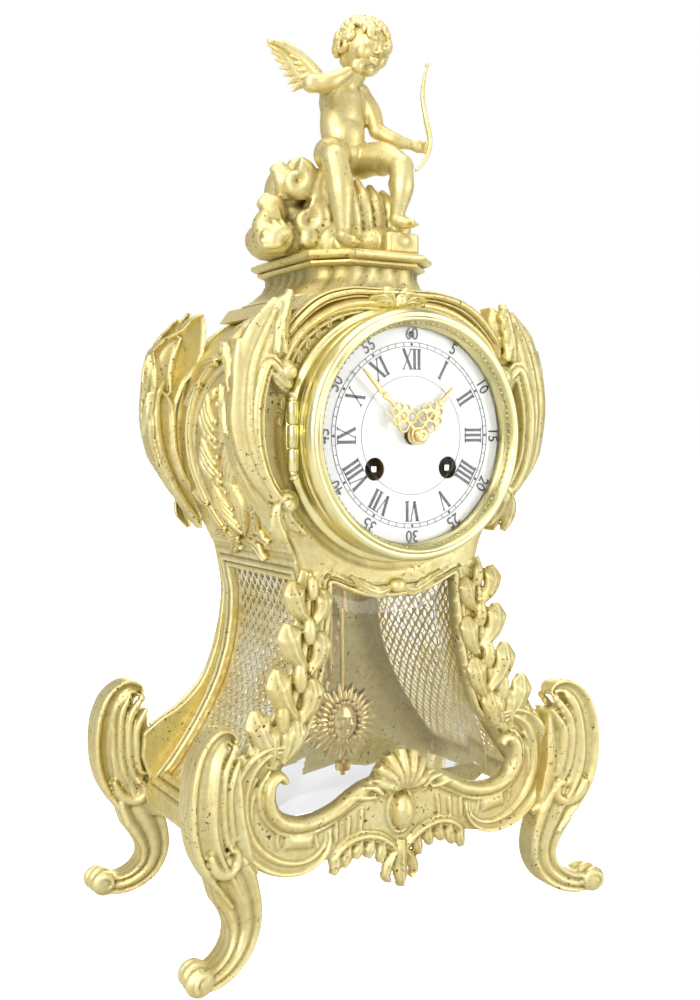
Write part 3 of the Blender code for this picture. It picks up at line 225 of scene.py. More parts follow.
class Clay:
    """Vertices and faces of one piece, gathered from many strokes."""

    def __init__(self):
        self.verts = []
        self.faces = []

    def put(self, verts, faces):
        base = len(self.verts)
        self.verts.extend([tuple(map(float, v)) for v in verts])
        self.faces.extend([tuple(base + int(i) for i in f) for f in faces])

    def grid(self, points, closed_rows=False, closed_cols=False):
        """A (rows, cols, 3) array as quads."""
        rows, cols = points.shape[:2]
        faces = []
        for i in range(rows if closed_rows else rows - 1):
            for j in range(cols if closed_cols else cols - 1):
                a, b = i, (i + 1) % rows
                c, d = j, (j + 1) % cols
                faces.append((a * cols + c, a * cols + d, b * cols + d, b * cols + c))
        self.put(points.reshape(-1, 3), faces)

    def sleeve(self, rings):
        """Closed skin through rings of points, with both ends capped."""
        rings = np.asarray(rings, float)
        count, around = rings.shape[:2]
        faces = []
        for i in range(count - 1):
            for j in range(around):
                k = (j + 1) % around
                faces.append((i * around + j, i * around + k, (i + 1) * around + k,
                              (i + 1) * around + j))
        faces.append(tuple(range(around - 1, -1, -1)))
        faces.append(tuple((count - 1) * around + j for j in range(around)))
        self.put(rings.reshape(-1, 3), faces)

    def blob(self, centre, radii, turn=None, rings=8, around=12):
        """Ellipsoid, turned by a rotation matrix if given."""
        rows = []
        for i in range(1, rings):
            a = math.pi * i / rings
            rows.append([(math.sin(a) * math.cos(t), math.sin(a) * math.sin(t), -math.cos(a))
                         for t in np.linspace(0, 2 * math.pi, around, endpoint=False)])
        points = np.array(rows).reshape(-1, 3)
        points = np.vstack([points, [(0, 0, -1), (0, 0, 1)]]) * np.array(radii)
        if turn is not None:
            points = points @ np.array(turn).T
        points = points + np.array(centre)
        faces = []
        count = rings - 1
        for i in range(count - 1):
            for j in range(around):
                k = (j + 1) % around
                faces.append((i * around + j, i * around + k, (i + 1) * around + k,
                              (i + 1) * around + j))
        low, high = count * around, count * around + 1
        for j in range(around):
            k = (j + 1) % around
            faces.append((low, k, j))
            faces.append((high, (count - 1) * around + j, (count - 1) * around + k))
        self.put(points, faces)

    def mirrored_x(self):
        """The same clay and its left-right mirror in one."""
        both = Clay()
        both.put(self.verts, self.faces)
        both.put([(-x, y, z) for x, y, z in self.verts], [tuple(reversed(f)) for f in self.faces])
        return both

    def flipped(self, sx, sy):
        """A mirrored copy."""
        copy = Clay()
        turn = sx * sy < 0
        copy.put([(x * sx, y * sy, z) for x, y, z in self.verts],
                 [tuple(reversed(f)) if turn else f for f in self.faces])
        return copy

    def object(self, name, mat, smooth=True):
        """Make the object, in metres, with normals facing out."""
        mesh = bpy.data.meshes.new(name)
        mesh.from_pydata([(x * MM, y * MM, z * MM) for x, y, z in self.verts], [], self.faces)
        bm = bmesh.new()
        bm.from_mesh(mesh)
        bmesh.ops.recalc_face_normals(bm, faces=bm.faces)
        bm.to_mesh(mesh)
        bm.free()
        made = bpy.data.objects.new(name, mesh)
        bpy.context.scene.collection.objects.link(made)
        mesh.materials.append(mat)
        mesh.polygons.foreach_set("use_smooth", [smooth] * len(mesh.polygons))
        return made


def bake(made, smooth=True):
    """Apply an object's modifiers."""
    bpy.context.view_layer.update()
    graph = bpy.context.evaluated_depsgraph_get()
    mesh = bpy.data.meshes.new_from_object(made.evaluated_get(graph))
    old = made.data
    made.modifiers.clear()
    made.data = mesh
    bpy.data.meshes.remove(old)
    mesh.polygons.foreach_set("use_smooth", [smooth] * len(mesh.polygons))
    return made


def cast(made, voxel, soften=2):
    """Skin overlapping strokes into one casting and soften it."""
    step = made.modifiers.new("skin", "REMESH")
    step.mode = "VOXEL"
    step.voxel_size = voxel * MM * 1.0
    step = made.modifiers.new("soft", "SMOOTH")
    step.factor = 0.5
    step.iterations = soften
    return bake(made)


def curve(points, count):
    """Smooth curve through points (Catmull-Rom), resampled evenly."""
    points = np.asarray(points, float)
    ends = np.vstack([2 * points[0] - points[1], points, 2 * points[-1] - points[-2]])
    fine = []
    for i in range(len(points) - 1):
        p0, p1, p2, p3 = ends[i:i + 4]
        for t in np.linspace(0, 1, 16, endpoint=False):
            fine.append(0.5 * (2 * p1 + (p2 - p0) * t + (2 * p0 - 5 * p1 + 4 * p2 - p3) * t * t
                               + (3 * p1 - p0 - 3 * p2 + p3) * t ** 3))
    fine.append(points[-1])
    fine = np.array(fine)
    steps = np.concatenate([[0], np.cumsum(np.linalg.norm(np.diff(fine, axis=0), axis=1))])
    places = np.linspace(0, steps[-1], count)
    return np.stack([np.interp(places, steps, fine[:, k]) for k in range(fine.shape[1])], 1)


def along(values, count):
    """Values spread evenly over a length, smoothly joined."""
    values = np.asarray(values, float)
    if values.ndim == 0:
        return np.full(count, float(values))
    return np.interp(np.linspace(0, 1, count), np.linspace(0, 1, len(values)), values)


def spiral(cx, cz, r0, r1, start, turns, count=26):
    """Points of a volute in a plane, from radius r0 at a start angle in degrees."""
    t = np.linspace(0, 1, count)
    a = math.radians(start) + 2 * math.pi * turns * t
    r = r0 + (r1 - r0) * t ** 0.8
    return np.stack([cx + r * np.cos(a), cz + r * np.sin(a)], 1)


def front_face(u, v, h):
    """Surface of the front panel: u across, v up, h out of the face."""
    return np.stack([u, FRONT - h, v], -1)


ROUND = [(math.cos(a), max(math.sin(a), 0)) for a in np.linspace(0, math.pi, 11)]
REEDS = [(1.0, 0.0), (0.95, 0.5), (0.78, 0.72), (0.6, 0.5), (0.5, 0.5), (0.3, 0.92), (0.0, 1.0),
         (-0.3, 0.92), (-0.5, 0.5), (-0.6, 0.5), (-0.78, 0.72), (-0.95, 0.5), (-1.0, 0.0)]


def strand(clay, path, width, height, section=ROUND, surface=front_face, base=0.0, sink=1.0,
           count=None, smooth_path=True):
    """Moulded band along a 2-D path on a surface; width and height are half-width and relief."""
    count = count or max(24, int(len(path) * 8))
    line = curve(path, count) if smooth_path else np.asarray(path, float)
    count = len(line)
    ahead = np.gradient(line, axis=0)
    ahead /= np.linalg.norm(ahead, axis=1)[:, None] + 1e-9
    side = np.stack([ahead[:, 1], -ahead[:, 0]], 1)
    half, rise, ground = along(width, count), along(height, count), along(base, count)
    rings = []
    profile = list(section) + [(section[-1][0] * 0.98, -sink), (section[0][0] * 0.98, -sink)]
    for i in range(count):
        ring = []
        for a, b in profile:
            u = line[i, 0] + side[i, 0] * a * half[i]
            v = line[i, 1] + side[i, 1] * a * half[i]
            h = ground[i] + (b * rise[i] if b > -sink + 1e-6 else -sink)
            ring.append(surface(u, v, h))
        rings.append(ring)
    clay.sleeve(rings)


def leaf(clay, path, width, lobes=5, rise=3.0, cup=0.5, surface=front_face, base=0.0, thick=1.6,
         lean=0.9, depth=0.32, across=9, rib=1.0):
    """Acanthus leaf along a 2-D spine: lobed edges that lean to the tip, folds and a centre rib."""
    count = max(30, lobes * 9)
    line = curve(path, count)
    ahead = np.gradient(line, axis=0)
    ahead /= np.linalg.norm(ahead, axis=1)[:, None] + 1e-9
    side = np.stack([ahead[:, 1], -ahead[:, 0]], 1)
    t = np.linspace(0, 1, count)
    half = along(width, count)
    lift = along(rise, count)
    ground = along(base, count)
    spread = np.linspace(-1, 1, 2 * across + 1)
    top = np.zeros((count, len(spread), 3))
    low = np.zeros_like(top)
    for i in range(count):
        for j, s in enumerate(spread):
            wave = (t[i] * lobes) % 1.0
            edge = 1 - depth * (1 - abs(2 * wave - 1) ** 0.8) * (1 if t[i] < 0.96 else 0)
            w = half[i] * (1 - (1 - edge) * abs(s) ** 1.5)
            push = lean * abs(s) ** 1.4 * half[i]
            u = line[i, 0] + side[i, 0] * s * w + ahead[i, 0] * push * 0.6
            v = line[i, 1] + side[i, 1] * s * w + ahead[i, 1] * push * 0.6
            fold = 0.5 * math.cos(2 * math.pi * (t[i] * lobes - 0.5)) * abs(s) ** 0.8
            body = (1 - abs(s) ** 2.2 * cup)
            h = ground[i] + lift[i] * (body + 0.22 * fold) + rib * 0.8 * math.exp(-(s / 0.13) ** 2) \
                - rib * 0.5 * math.exp(-((abs(s) - 0.28) / 0.12) ** 2)
            top[i, j] = surface(u, v, h)
            low[i, j] = surface(u, v, h - thick - 0.25 * lift[i])
    around = np.concatenate([top, low[:, ::-1]], axis=1)
    clay.sleeve(around)


def tube(clay, points, radii, around=12, flat=1.0, count=None):
    """Round limb through 3-D points."""
    count = count or max(8, 5 * len(points))
    line = curve(points, count)
    size = along(radii, count)
    ahead = np.gradient(line, axis=0)
    ahead /= np.linalg.norm(ahead, axis=1)[:, None] + 1e-9
    side = np.cross(ahead[0], (0, 1, 0) if abs(ahead[0][1]) < 0.8 else (1, 0, 0))
    side /= np.linalg.norm(side)
    rings = []
    for i in range(count):
        side = side - ahead[i] * side.dot(ahead[i])
        side /= np.linalg.norm(side)
        other = np.cross(ahead[i], side)
        ring = [line[i] + size[i] * (math.cos(a) * side + math.sin(a) * flat * other)
                for a in np.linspace(0, 2 * math.pi, around, endpoint=False)]
        rings.append(ring)
    clay.sleeve(rings)


def lathe(clay, profile, centre, axis="Y", around=96, closed=True):
    """Revolve a (radius, along) profile."""
    rows = []
    for r, h in profile:
        ring = []
        for k in range(around):
            a = 2 * math.pi * (k + 0.5) / around
            u, v = r * math.cos(a), r * math.sin(a)
            spot = (u, h, v) if axis == "Y" else (u, v, h)
            ring.append(np.array(spot) + np.array(centre))
        rows.append(ring)
    clay.grid(np.array(rows), closed_rows=closed, closed_cols=True)


# ------------------------------------------------------------------ fields and sheets


def polygon_distance(px, pz, outline):
    """Signed distance to a closed outline, positive inside."""
    outline = np.asarray(outline, float)
    best = np.full(px.shape, 1e9)
    inside = np.zeros(px.shape, bool)
    for (x0, z0), (x1, z1) in zip(outline, np.roll(outline, -1, axis=0)):
        dx, dz = x1 - x0, z1 - z0
        t = np.clip(((px - x0) * dx + (pz - z0) * dz) / (dx * dx + dz * dz + 1e-12), 0, 1)
        best = np.minimum(best, np.hypot(px - x0 - t * dx, pz - z0 - t * dz))
        crosses = (z0 > pz) != (z1 > pz)
        with np.errstate(divide="ignore", invalid="ignore"):
            hit = px < (x1 - x0) * (pz - z0) / (z1 - z0) + x0
        inside ^= crosses & hit
    return np.where(inside, best, -best)


def sheet(clay, us, vs, distance, height, surface, thickness):
    """Sheet where distance > 0, its edge snapped to the zero line, with a back face and walls."""
    uu, vv = np.meshgrid(us, vs, indexing="ij")
    d = distance(uu, vv)
    step = us[1] - us[0]
    gu, gv = np.gradient(d, us, vs)
    size = np.maximum(np.hypot(gu, gv), 0.75)
    near = (d < 0) & (d > -1.6 * step)
    su = np.where(near, uu - d * gu / size ** 2, uu)
    sv = np.where(near, vv - d * gv / size ** 2, vv)
    ok = d > -1.6 * step
    cell = ok[:-1, :-1] & ok[1:, :-1] & ok[:-1, 1:] & ok[1:, 1:]
    deep = d > 0
    cell &= deep[:-1, :-1] | deep[1:, :-1] | deep[:-1, 1:] | deep[1:, 1:]
    hh = height(su, sv)
    top = surface(su, sv, hh)
    low = surface(su, sv, np.full_like(hh, -thickness))
    count_v = len(vs)
    total = len(us) * count_v
    faces = []
    ci, cj = np.nonzero(cell)
    for i, j in zip(ci, cj):
        a, b, c, e = i * count_v + j, (i + 1) * count_v + j, (i + 1) * count_v + j + 1, i * count_v + j + 1
        faces.append((a, b, c, e))
        faces.append((a + total, e + total, c + total, b + total))
        for di, dj, p, q in ((-1, 0, a, e), (1, 0, b, c), (0, -1, a, b), (0, 1, e, c)):
            ni, nj = i + di, j + dj
            outside = ni < 0 or nj < 0 or ni >= cell.shape[0] or nj >= cell.shape[1]
            if outside or not cell[ni, nj]:
                faces.append((p, q, q + total, p + total))
    verts = np.vstack([top.reshape(-1, 3), low.reshape(-1, 3)])
    used = np.unique(np.array([i for f in faces for i in f]))
    remap = -np.ones(len(verts), int)
    remap[used] = np.arange(len(used))
    clay.put(verts[used], [tuple(remap[list(f)]) for f in faces])


def place(made, body, nodes, slot_name):
    """Hand a finished piece to its body, in place of its CAD nodes."""
    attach(made, body)
    if nodes:
        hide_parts(*nodes)
    return made


def both_sides(half):
    """Closed outline from its right half, top middle to bottom middle."""
    return list(half) + [(-x, z) for x, z in reversed(half) if abs(x) > 1e-6]


# ------------------------------------------------------------------ case outlines
PANEL_EDGE = [(0, 290), (22, 289.4), (38, 284), (52, 274), (60, 262), (66, 246), (68, 228),
              (66, 213), (61, 200), (55, 188), (50, 180), (46.5, 169), (44, 151), (45.7, 135),
              (48, 123), (54, 108), (60, 100), (68, 93), (78, 88), (87, 82), (88, 70), (88, 47)]
APRON_FOOT = [(83, 43), (68, 42), (56, 42), (40, 44), (0, 44)]
BACK_FOOT = [(80, 46), (60, 50), (40, 47), (20, 51), (0, 48)]
WINDOW = [(0, 154), (17, 155.5), (33, 162), (34, 149), (35.5, 137), (37.3, 125), (41, 110),
          (45.6, 95), (50.4, 82), (54.7, 69), (55, 62), (50, 60), (0, 60)]
SIDE_LINE = [(38.7, 283), (49, 274.5), (57.5, 264), (63, 250), (65.5, 238), (66, 228), (64.6, 214),
             (60.5, 200), (54.5, 186), (49.5, 176), (45.5, 165), (43, 151), (43.6, 137),
             (46, 123), (50.5, 109), (56.5, 97), (63, 86), (70, 76), (77, 67), (83, 61),
             (86, 57), (86, 47)]
GRILLE_TOP, GRILLE_FOOT, GRILLE_HALF = 163.0, 64.0, 33.0
GRILLE_PITCH = 6.3
SIDE_HALF = BACK - 4.3
HOLE_R = 49.8


def smooth_half(half, count):
    """Rounded version of a half outline."""
    return [tuple(p) for p in curve(half, count)]


EDGE = smooth_half(PANEL_EDGE[:-2], 70) + PANEL_EDGE[-2:]
OPENING = [(33, 162), (34, 149), (35.5, 137), (37.3, 125), (41, 110), (45.6, 97), (52, 89.5), (59, 87.6),
           (65, 84), (68.4, 77), (68.4, 69), (64.5, 62), (57, 57.8), (50, 57)]
LIGHT = smooth_half(WINDOW[:3], 12)[:-1] + smooth_half(OPENING, 48) + [(0, 57)]


def ridge(d, at, half, rise):
    """Rounded bead at a distance."""
    return rise * np.sqrt(np.clip(1 - ((d - at) / half) ** 2, 0, 1))


def panel_height(outline, light, face):
    """Relief of a front or back panel."""
    def height(x, z):
        outer = polygon_distance(x, z, outline)
        h = 2.2 * (1 - np.exp(-np.clip(outer, 0, 50) / 3.0))
        if light is not None:
            near = -polygon_distance(x, z, light)
            h = np.where(near < 5.2, 1.2, h)
            h = np.maximum(h, ridge(near, 1.3, 1.3, 3.2))
            h = np.maximum(h, ridge(near, 4.0, 1.1, 2.7))
        r = np.hypot(x, z - DIAL_Z)
        h = np.where(r < 62, np.minimum(h, 1.4 + 0.8 * np.clip((r - 60) / 2, 0, 1)), h)
        if face:
            top = (z > 250)
            h = np.where(top, np.maximum(h, ridge(outer, 3.6, 2.6, 5.5)), h)
            h = np.where(top, np.maximum(h, ridge(outer, 7.6, 1.3, 3.2)), h)
        return np.maximum(h, 0.0)
    return height


def build_panel(outline_half, light_half, face, surface):
    """Panel sheet with its relief."""
    clay = Clay()
    outline = both_sides(outline_half)
    light = both_sides(light_half) if light_half else None
    step = 0.8

    def distance(x, z):
        d = polygon_distance(x, z, outline)
        d = np.minimum(d, np.hypot(x, z - DIAL_Z) - HOLE_R)
        if light is not None:
            d = np.minimum(d, -polygon_distance(x, z, light))
        return d

    us = np.arange(-90, 90 + step, step)
    vs = np.arange(40, 292 + step, step)
    sheet(clay, us, vs, distance, panel_height(outline, light, face), surface, 4.0)
    return clay


def back_face(u, v, h):
    """Surface of the back panel."""
    return np.stack([u, BACK + h, v], -1)



def plate(clay, outline, low, high, table, step, under=None):
    """Cast plate in the XZ plane: outline, back and front Y, relief by distance from the edge."""
    outline = np.asarray(outline, float)
    xs, hs = zip(*table)
    us = np.arange(outline[:, 0].min() - step, outline[:, 0].max() + 2 * step, step)
    vs = np.arange(outline[:, 1].min() - step, outline[:, 1].max() + 2 * step, step)

    def distance(x, z):
        return polygon_distance(x, z, outline)

    def height(x, z):
        return np.interp(distance(x, z), xs, hs)

    def surface(x, z, h):
        floor_y = low if under is None else low + np.interp(distance(x, z), xs, under)
        return np.stack([x, np.where(h == -UNDERSIDE, floor_y, high - h), z], -1)

    sheet(clay, us, vs, distance, height, surface, UNDERSIDE)


def joined(name, pieces, mat):
    """One object from several."""
    first = pieces[0]
    with bpy.context.temp_override(active_object=first, object=first, selected_objects=pieces,
                                   selected_editable_objects=pieces):
        bpy.ops.object.join()
    first.name = name
    first.data.name = name
    first.data.materials.clear()
    first.data.materials.append(mat)
    return first


FINE = 0.8

# ------------------------------------------------------------------ front and back panels
front = build_panel(EDGE + APRON_FOOT, LIGHT, True, front_face)
trim = Clay()
crest = [(-63, 262), (-50, 277.5), (-38, 286.5), (-24, 290.5), (-12, 291.0), (0, 291.5)]
strand(trim, crest, [1.2, 2.4, 2.6, 2.6, 2.4, 2.2], [3.5, 6, 6.5, 6.5, 6.5, 6.5], REEDS, base=0.5)
strand(trim, [(-60, 254), (-49, 270), (-36, 279.5), (-22, 283.5), (-9, 284)], 1.4, 4.2, base=0.5)
for k in range(9):
    a = math.radians(118 + 7.2 * k)
    cx, cz = 58.5 * math.cos(a), DIAL_Z + 57.2 * math.sin(a)
    leaf(trim, [(cx, cz), (cx - 4.0 * math.sin(a) * 0.2, cz + 4.5), (cx - 5.5, cz + 6.5)],
         [1.2, 2.0, 0.8], 2, 1.6, surface=front_face, base=1.2, across=4)
strand(trim, [(-36, 166), (-20, 160.5), (0, 159), (20, 160.5), (36, 166)], [1.5, 2.2, 2.4, 2.2, 1.5],
       3.2, REEDS, base=0.3)
crown = trim.mirrored_x()
for side in (-1, 1):
    for reach, tall, start in ((9, 9, 0), (15, 6.5, 2), (12, 3.5, 1)):
        leaf(crown, [(side * 1.0, 285), (side * (reach * 0.5), 285 + tall * 0.7),
                     (side * reach, 285 + tall * 0.55)], [1.5, 3.2, 0.8], 3, 4.0, base=2.5, across=5)
    leaf(crown, [(side * 1, 160), (side * 9, 157), (side * 17, 160), (side * 24, 165)],
         [1.5, 3.8, 3.2, 0.8], 4, 3.0, base=1.0, across=5)
crown.blob((0, FRONT - 7.5, 287.5), (3.2, 2.6, 3.2))
crown.blob((0, FRONT - 4.2, 159.5), (4.0, 3.4, 3.6))
front.put(crown.verts, crown.faces)
made = front.object("case_front", GILT)
place(made, "case", ["front_panel"], "gilt_bronze")

rear = build_panel(EDGE[:-1] + BACK_FOOT, None, False, back_face)
swag = Clay()
strand(swag, [(-40, 160), (-43, 135), (-52, 108), (-68, 92), (-82, 84)], 1.6, 2.0, base=1.6)
strand(swag, [(-84, 66), (-60, 60), (-30, 58), (0, 62)], [1.2, 2.2, 2.0, 1.5], 2.4, REEDS, base=1.6)
leaf(swag, [(-2, 64), (-14, 72), (-26, 70), (-34, 62)], [2, 5, 4, 1], 5, 2.4, surface=back_face,
     base=1.6)
behind = Clay()
both = swag.mirrored_x()
behind.put([(x, BACK + (FRONT - y), z) if y < 0 else (x, y, z) for x, y, z in both.verts], both.faces)
rear.put(behind.verts, behind.faces)
made = rear.object("case_back", GILT)
place(made, "case", ["back_panel"], "gilt_bronze")


# ------------------------------------------------------------------ sides
SIDE_Z = np.array([z for _, z in reversed(SIDE_LINE)])
SIDE_X = np.array([x for x, _ in reversed(SIDE_LINE)])
FINE_Z = np.linspace(47, 283, 240)
FINE_X = np.interp(FINE_Z, SIDE_Z, SIDE_X)
for pass_number in range(5):
    FINE_X[1:-1] = (FINE_X[:-2] + 2 * FINE_X[1:-1] + FINE_X[2:]) / 4
SLOPE = np.gradient(FINE_X, FINE_Z)


def side_face(y, z, h):
    """Outer surface of the right side: y along the depth, z up."""
    x = np.interp(z, FINE_Z, FINE_X)
    s = np.interp(z, FINE_Z, SLOPE)
    n = np.hypot(1, s)
    return np.stack([x + h / n, y + 0 * x, z - h * s / n], -1)


def side_relief(y, z):
    """Mouldings of the side: rails round the grille and the framed cartouche above."""
    hole = np.minimum(GRILLE_HALF - np.abs(y), np.minimum(GRILLE_TOP - z, z - GRILLE_FOOT))
    near = -hole
    h = np.full(y.shape, 0.2)
    band = (z < 172)
    h = np.where(band, np.maximum(h, ridge(near, 1.3, 1.3, 1.6)), h)
    h = np.where(band, np.maximum(h, ridge(near, 4.6, 1.5, 2.0)), h)
    h = np.where(band & (near > 6.6), 0.9, h)
    ring = np.hypot(y / 27.0, (z - 219) / 42.0)
    d = (ring - 1) * 30
    h = np.where((z > 172) & (d < 0), -0.9, h)
    h = np.maximum(h, np.where(z > 172, ridge(d, -0.5, 1.2, 1.6), 0))
    h = np.where((d > 5.0) & (z > 176) & (z < 262), 0.9, h)
    return h


side = Clay()
step = 0.9


def side_distance(y, z):
    d = np.minimum(SIDE_HALF - np.abs(y), np.minimum(z - 47.3, 282.6 - z))
    hole = np.minimum(GRILLE_HALF - np.abs(y), np.minimum(GRILLE_TOP - z, z - GRILLE_FOOT))
    return np.minimum(d, -hole)


sheet(side, np.arange(-44, 44 + step, step), np.arange(46, 284 + step, step), side_distance,
      side_relief, side_face, 2.4)
for sign in (-1, 1):
    for k in range(3):
        z0 = 244 - 20.0 * k
        reach = (16.5, 18.0, 14.0)[k]
        for j in range(4):
            strand(side, [(sign * (1.5 + 0.8 * j), z0 - 22 + 4.0 * j),
                          (sign * (reach * 0.55), z0 - 17 + 4.4 * j),
                          (sign * (reach - 1.5 * j), z0 - 8 + 3.6 * j),
                          (sign * (reach * 0.75 - 2.2 * j), z0 + 2 + 1.2 * j)],
                   [0.8, 1.9, 2.1, 1.0], [1.6, 3.0, 3.2, 1.6], ROUND, side_face, base=-0.4, count=30)
        side.blob(side_face(np.array(sign * (reach * 0.42)), np.array(z0 + 3.0), np.array(0.8)),
                  (1.8, 2.6, 2.6), rings=8, around=12)
    strand(side, [(sign * 2, 268), (sign * 12, 266), (sign * 22, 257), (sign * 29, 243), (sign * 31, 222),
                  (sign * 27, 201), (sign * 18, 184), (sign * 6, 175)],
           [1.0, 1.6, 2.0, 2.2, 2.2, 2.0, 1.6, 1.0], 2.6, REEDS, side_face, base=0.6, count=70)
    for y0, z0, dy, dz in ((3, 264, 14, 6), (12, 262, 14, -2), (22, 252, 11, -10), (4, 180, 13, -8),
                           (14, 184, 14, -3), (22, 196, 11, 6)):
        leaf(side, [(sign * y0, z0), (sign * (y0 + dy * 0.5), z0 + dz * 0.2), (sign * (y0 + dy), z0 + dz)],
             [1.5, 3.4, 0.8], 2, 3.0, surface=side_face, base=0.8, across=6, depth=0.2)
for k in range(9):
    spot = side_face(np.array(0.0), np.array(186.0 + 8 * k), np.array(1.2))
    side.blob(spot, (1.2, 1.5, 1.5), rings=5, around=8)
for suffix, sign in (("right", 1), ("left", -1)):
    made = side.flipped(sign, 1).object(f"case_side_{suffix}", GILT)
    place(made, "case", [f"side_panel_{suffix}"], "gilt_bronze")


def grille_distance(y, z):
    """Diagonal rows of ovals and four-lobed holes."""
    pitch = GRILLE_PITCH
    best = np.full(y.shape, 9.0)
    for row, (oy, oz) in enumerate(((0, 0), (pitch / 2, pitch / 2))):
        a = (y - oy + pitch / 2) % pitch - pitch / 2
        b = (z - oz + pitch / 2) % pitch - pitch / 2
        if row == 0:
            d = (np.hypot(a / 1.45, b / 2.1) - 1) * 1.6
        else:
            d = np.minimum(np.hypot(np.abs(a) - 1.15, b) - 1.0, np.hypot(a, np.abs(b) - 1.15) - 1.0)
        best = np.minimum(best, d)
    edge = np.minimum(GRILLE_HALF + 0.8 - np.abs(y),
                      np.minimum(GRILLE_TOP + 0.8 - z, z - GRILLE_FOOT + 0.8))
    return np.minimum(np.where(edge > 1.6, best, 2.0), edge)


mesh_side = Clay()
step = 0.42
sheet(mesh_side, np.arange(-35, 35 + step, step), np.arange(62, 165 + step, step), grille_distance,
      lambda y, z: np.full(y.shape, -2.6), side_face, 3.5)
# The grille sheets take the paler gilt, painted light.
for suffix, sign in (("right", 1), ("left", -1)):
    made = mesh_side.flipped(sign, 1).object(f"grille_{suffix}", GILT_SHEET_PAINTED_LIGHT, smooth=False)
    place(made, "case", [f"side_grille_{suffix}"], "pierced_gilt")

# ------------------------------------------------------------------ corner wings
WING = [(54, 288.5), (60, 285.5), (65, 280), (75, 274.5), (81, 269), (79.3, 257), (81.6, 240),
        (81.4, 228), (78, 214), (72, 203), (64, 191), (56, 181), (56, 190), (58, 198), (66, 208),
        (70, 222), (70, 240), (64, 254), (56, 262), (53.5, 270), (52.5, 282)]
WING_OUT = np.array([(56, 181), (64, 191), (72, 203), (78, 214), (81.4, 228), (81.6, 240),
                     (80, 252), (80, 262), (79, 271), (70, 279), (60, 286)])


def wing_side(y, z, h):
    """Outer edge of the wing, facing away from the case."""
    x = np.interp(z, WING_OUT[:, 1], WING_OUT[:, 0])
    return np.stack([x + h - 1.5, y + 0 * x, z + 0 * x], -1)


def wing_front(x, z, h):
    """Front of the wing."""
    return np.stack([x, -52.0 - h, z + 0 * h], -1)


def wing_rear(x, z, h):
    """Back of the wing, facing over the side panel."""
    return np.stack([x, -43.0 + h, z + 0 * h], -1)


wing = Clay()
plate(wing, WING, -42.6, -51.6, [(0, -2.4), (1.0, -0.8), (2.5, 0.2), (4, 0.4)], FINE,
      under=[2.0, 0.8, 0.0, 0.0])
cscroll = np.vstack([spiral(57.4, 254.5, 1.8, 5.6, 250, -0.95),
                     [(66.2, 258.5), (71.2, 247.5), (73.0, 235), (71.8, 221), (67.6, 209), (61.8, 201)],
                     spiral(57.6, 198.6, 4.6, 1.4, 40, 0.9)])
strand(wing, cscroll, [1.2, 2.4, 3.2, 4.2, 4.6, 4.6, 4.4, 3.8, 2.8, 1.6], [3, 4.6, 5.6, 6.0, 5.8, 5.2, 4],
       REEDS, wing_front, count=110)
wing.blob((57.4, -56.2, 254.6), (3.4, 2.4, 3.4), rings=10, around=16)
wing.blob((57.6, -56.0, 198.4), (3.0, 2.4, 3.0), rings=10, around=16)


BLADE = [(73.0, 222), (78.4, 236), (80.2, 250), (79.6, 260), (79.0, 268)]
BLADE_WIDE, BLADE_RISE = 2.4, 2.6
strand(wing, BLADE, [0.9] + [BLADE_WIDE * part for part in (0.7, 0.8, 1.1, 1.15, 0.5)],
       [BLADE_RISE * part for part in (0.6, 1.0, 1.0, 1.15, 1.1, 0.5)], ROUND, wing_front, base=0.2, count=60)
leaf(wing, [(64, 200), (72.5, 216), (76.0, 234), (74.5, 254), (69.0, 270), (61.5, 284)],
     [2.4, 6.6, 7.8, 8.0, 7.6, 2.6], 3, 4.4, surface=wing_front, across=8, depth=0.08)
leaf(wing, [(63, 262), (61.5, 272), (57.5, 284)], [1.6, 3.4, 1.4], 1, 4.6, surface=wing_front, base=0.8,
     across=6, depth=0.05)
wing.blob((72.0, -43.6, 262), (7.4, 3.2, 15.0), Matrix.Rotation(math.radians(24), 3, "Y").inverted(),
          rings=16, around=24)
wing.blob((78.2, -43.6, 257), (3.4, 2.8, 10.5), rings=14, around=18)
strand(wing, [(72.5, 248), (71.5, 262), (66.5, 276)], [0.7, 1.0, 0.7], 1.0, ROUND, wing_rear, base=2.6,
       count=20)
strand(wing, [(58, 186), (69, 201.5), (75.5, 216), (78.6, 232), (78.4, 245), (75.6, 254)],
       [1.0, 1.7, 2.0, 2.0, 1.8, 1.0], 2.6, ROUND, wing_rear, count=60)
strand(wing, [(77.6, 250), (73.6, 247), (70.6, 240), (70.2, 228), (67.6, 214), (60.0, 200)],
       [0.8, 1.5, 1.5, 1.4, 1.2, 0.8], 2.2, ROUND, wing_rear, count=60)
leaf(wing, [(59, 262), (60.5, 271), (59.5, 280), (56.0, 289)], [1.8, 4.0, 4.2, 1.2], 4, 4.4,
     surface=wing_front, base=0.8, across=6, depth=0.2)
for y0, wide in ((-49.4, 1.9), (-46.6, 2.0), (-44.0, 1.8)):
    strand(wing, [(y0 + 0.8, 198), (y0, 214), (y0, 236), (y0 + 0.4, 254), (y0 + 1.0, 268)],
           [0.8, wide, wide * 1.1, wide, 0.8], [1.4, 2.4, 2.6, 2.4, 1.2], ROUND, wing_side, base=0.6,
           count=60)
for z0, y0 in ((246, -47.5), (228, -45.5)):
    leaf(wing, [(y0 - 3.5, z0), (y0 + 0.5, z0 + 9), (y0 + 3.5, z0 + 21)], [1.4, 3.0, 0.9], 1, 3.4,
         surface=wing_side, base=1.4, across=5, thick=2.0, depth=0.1)
for x0, z0, dx, dz, wide in ((62, 201, -3.5, -19, 4.2), (57.5, 201, -8.5, -16, 3.8)):
    leaf(wing, [(x0, z0), (x0 + 0.2 * dx + 1.5, z0 + 0.45 * dz), (x0 + dx, z0 + dz)], [1.8, wide, 1.2], 2,
         4.2, surface=wing_front, base=-0.4, across=6, depth=0.12)
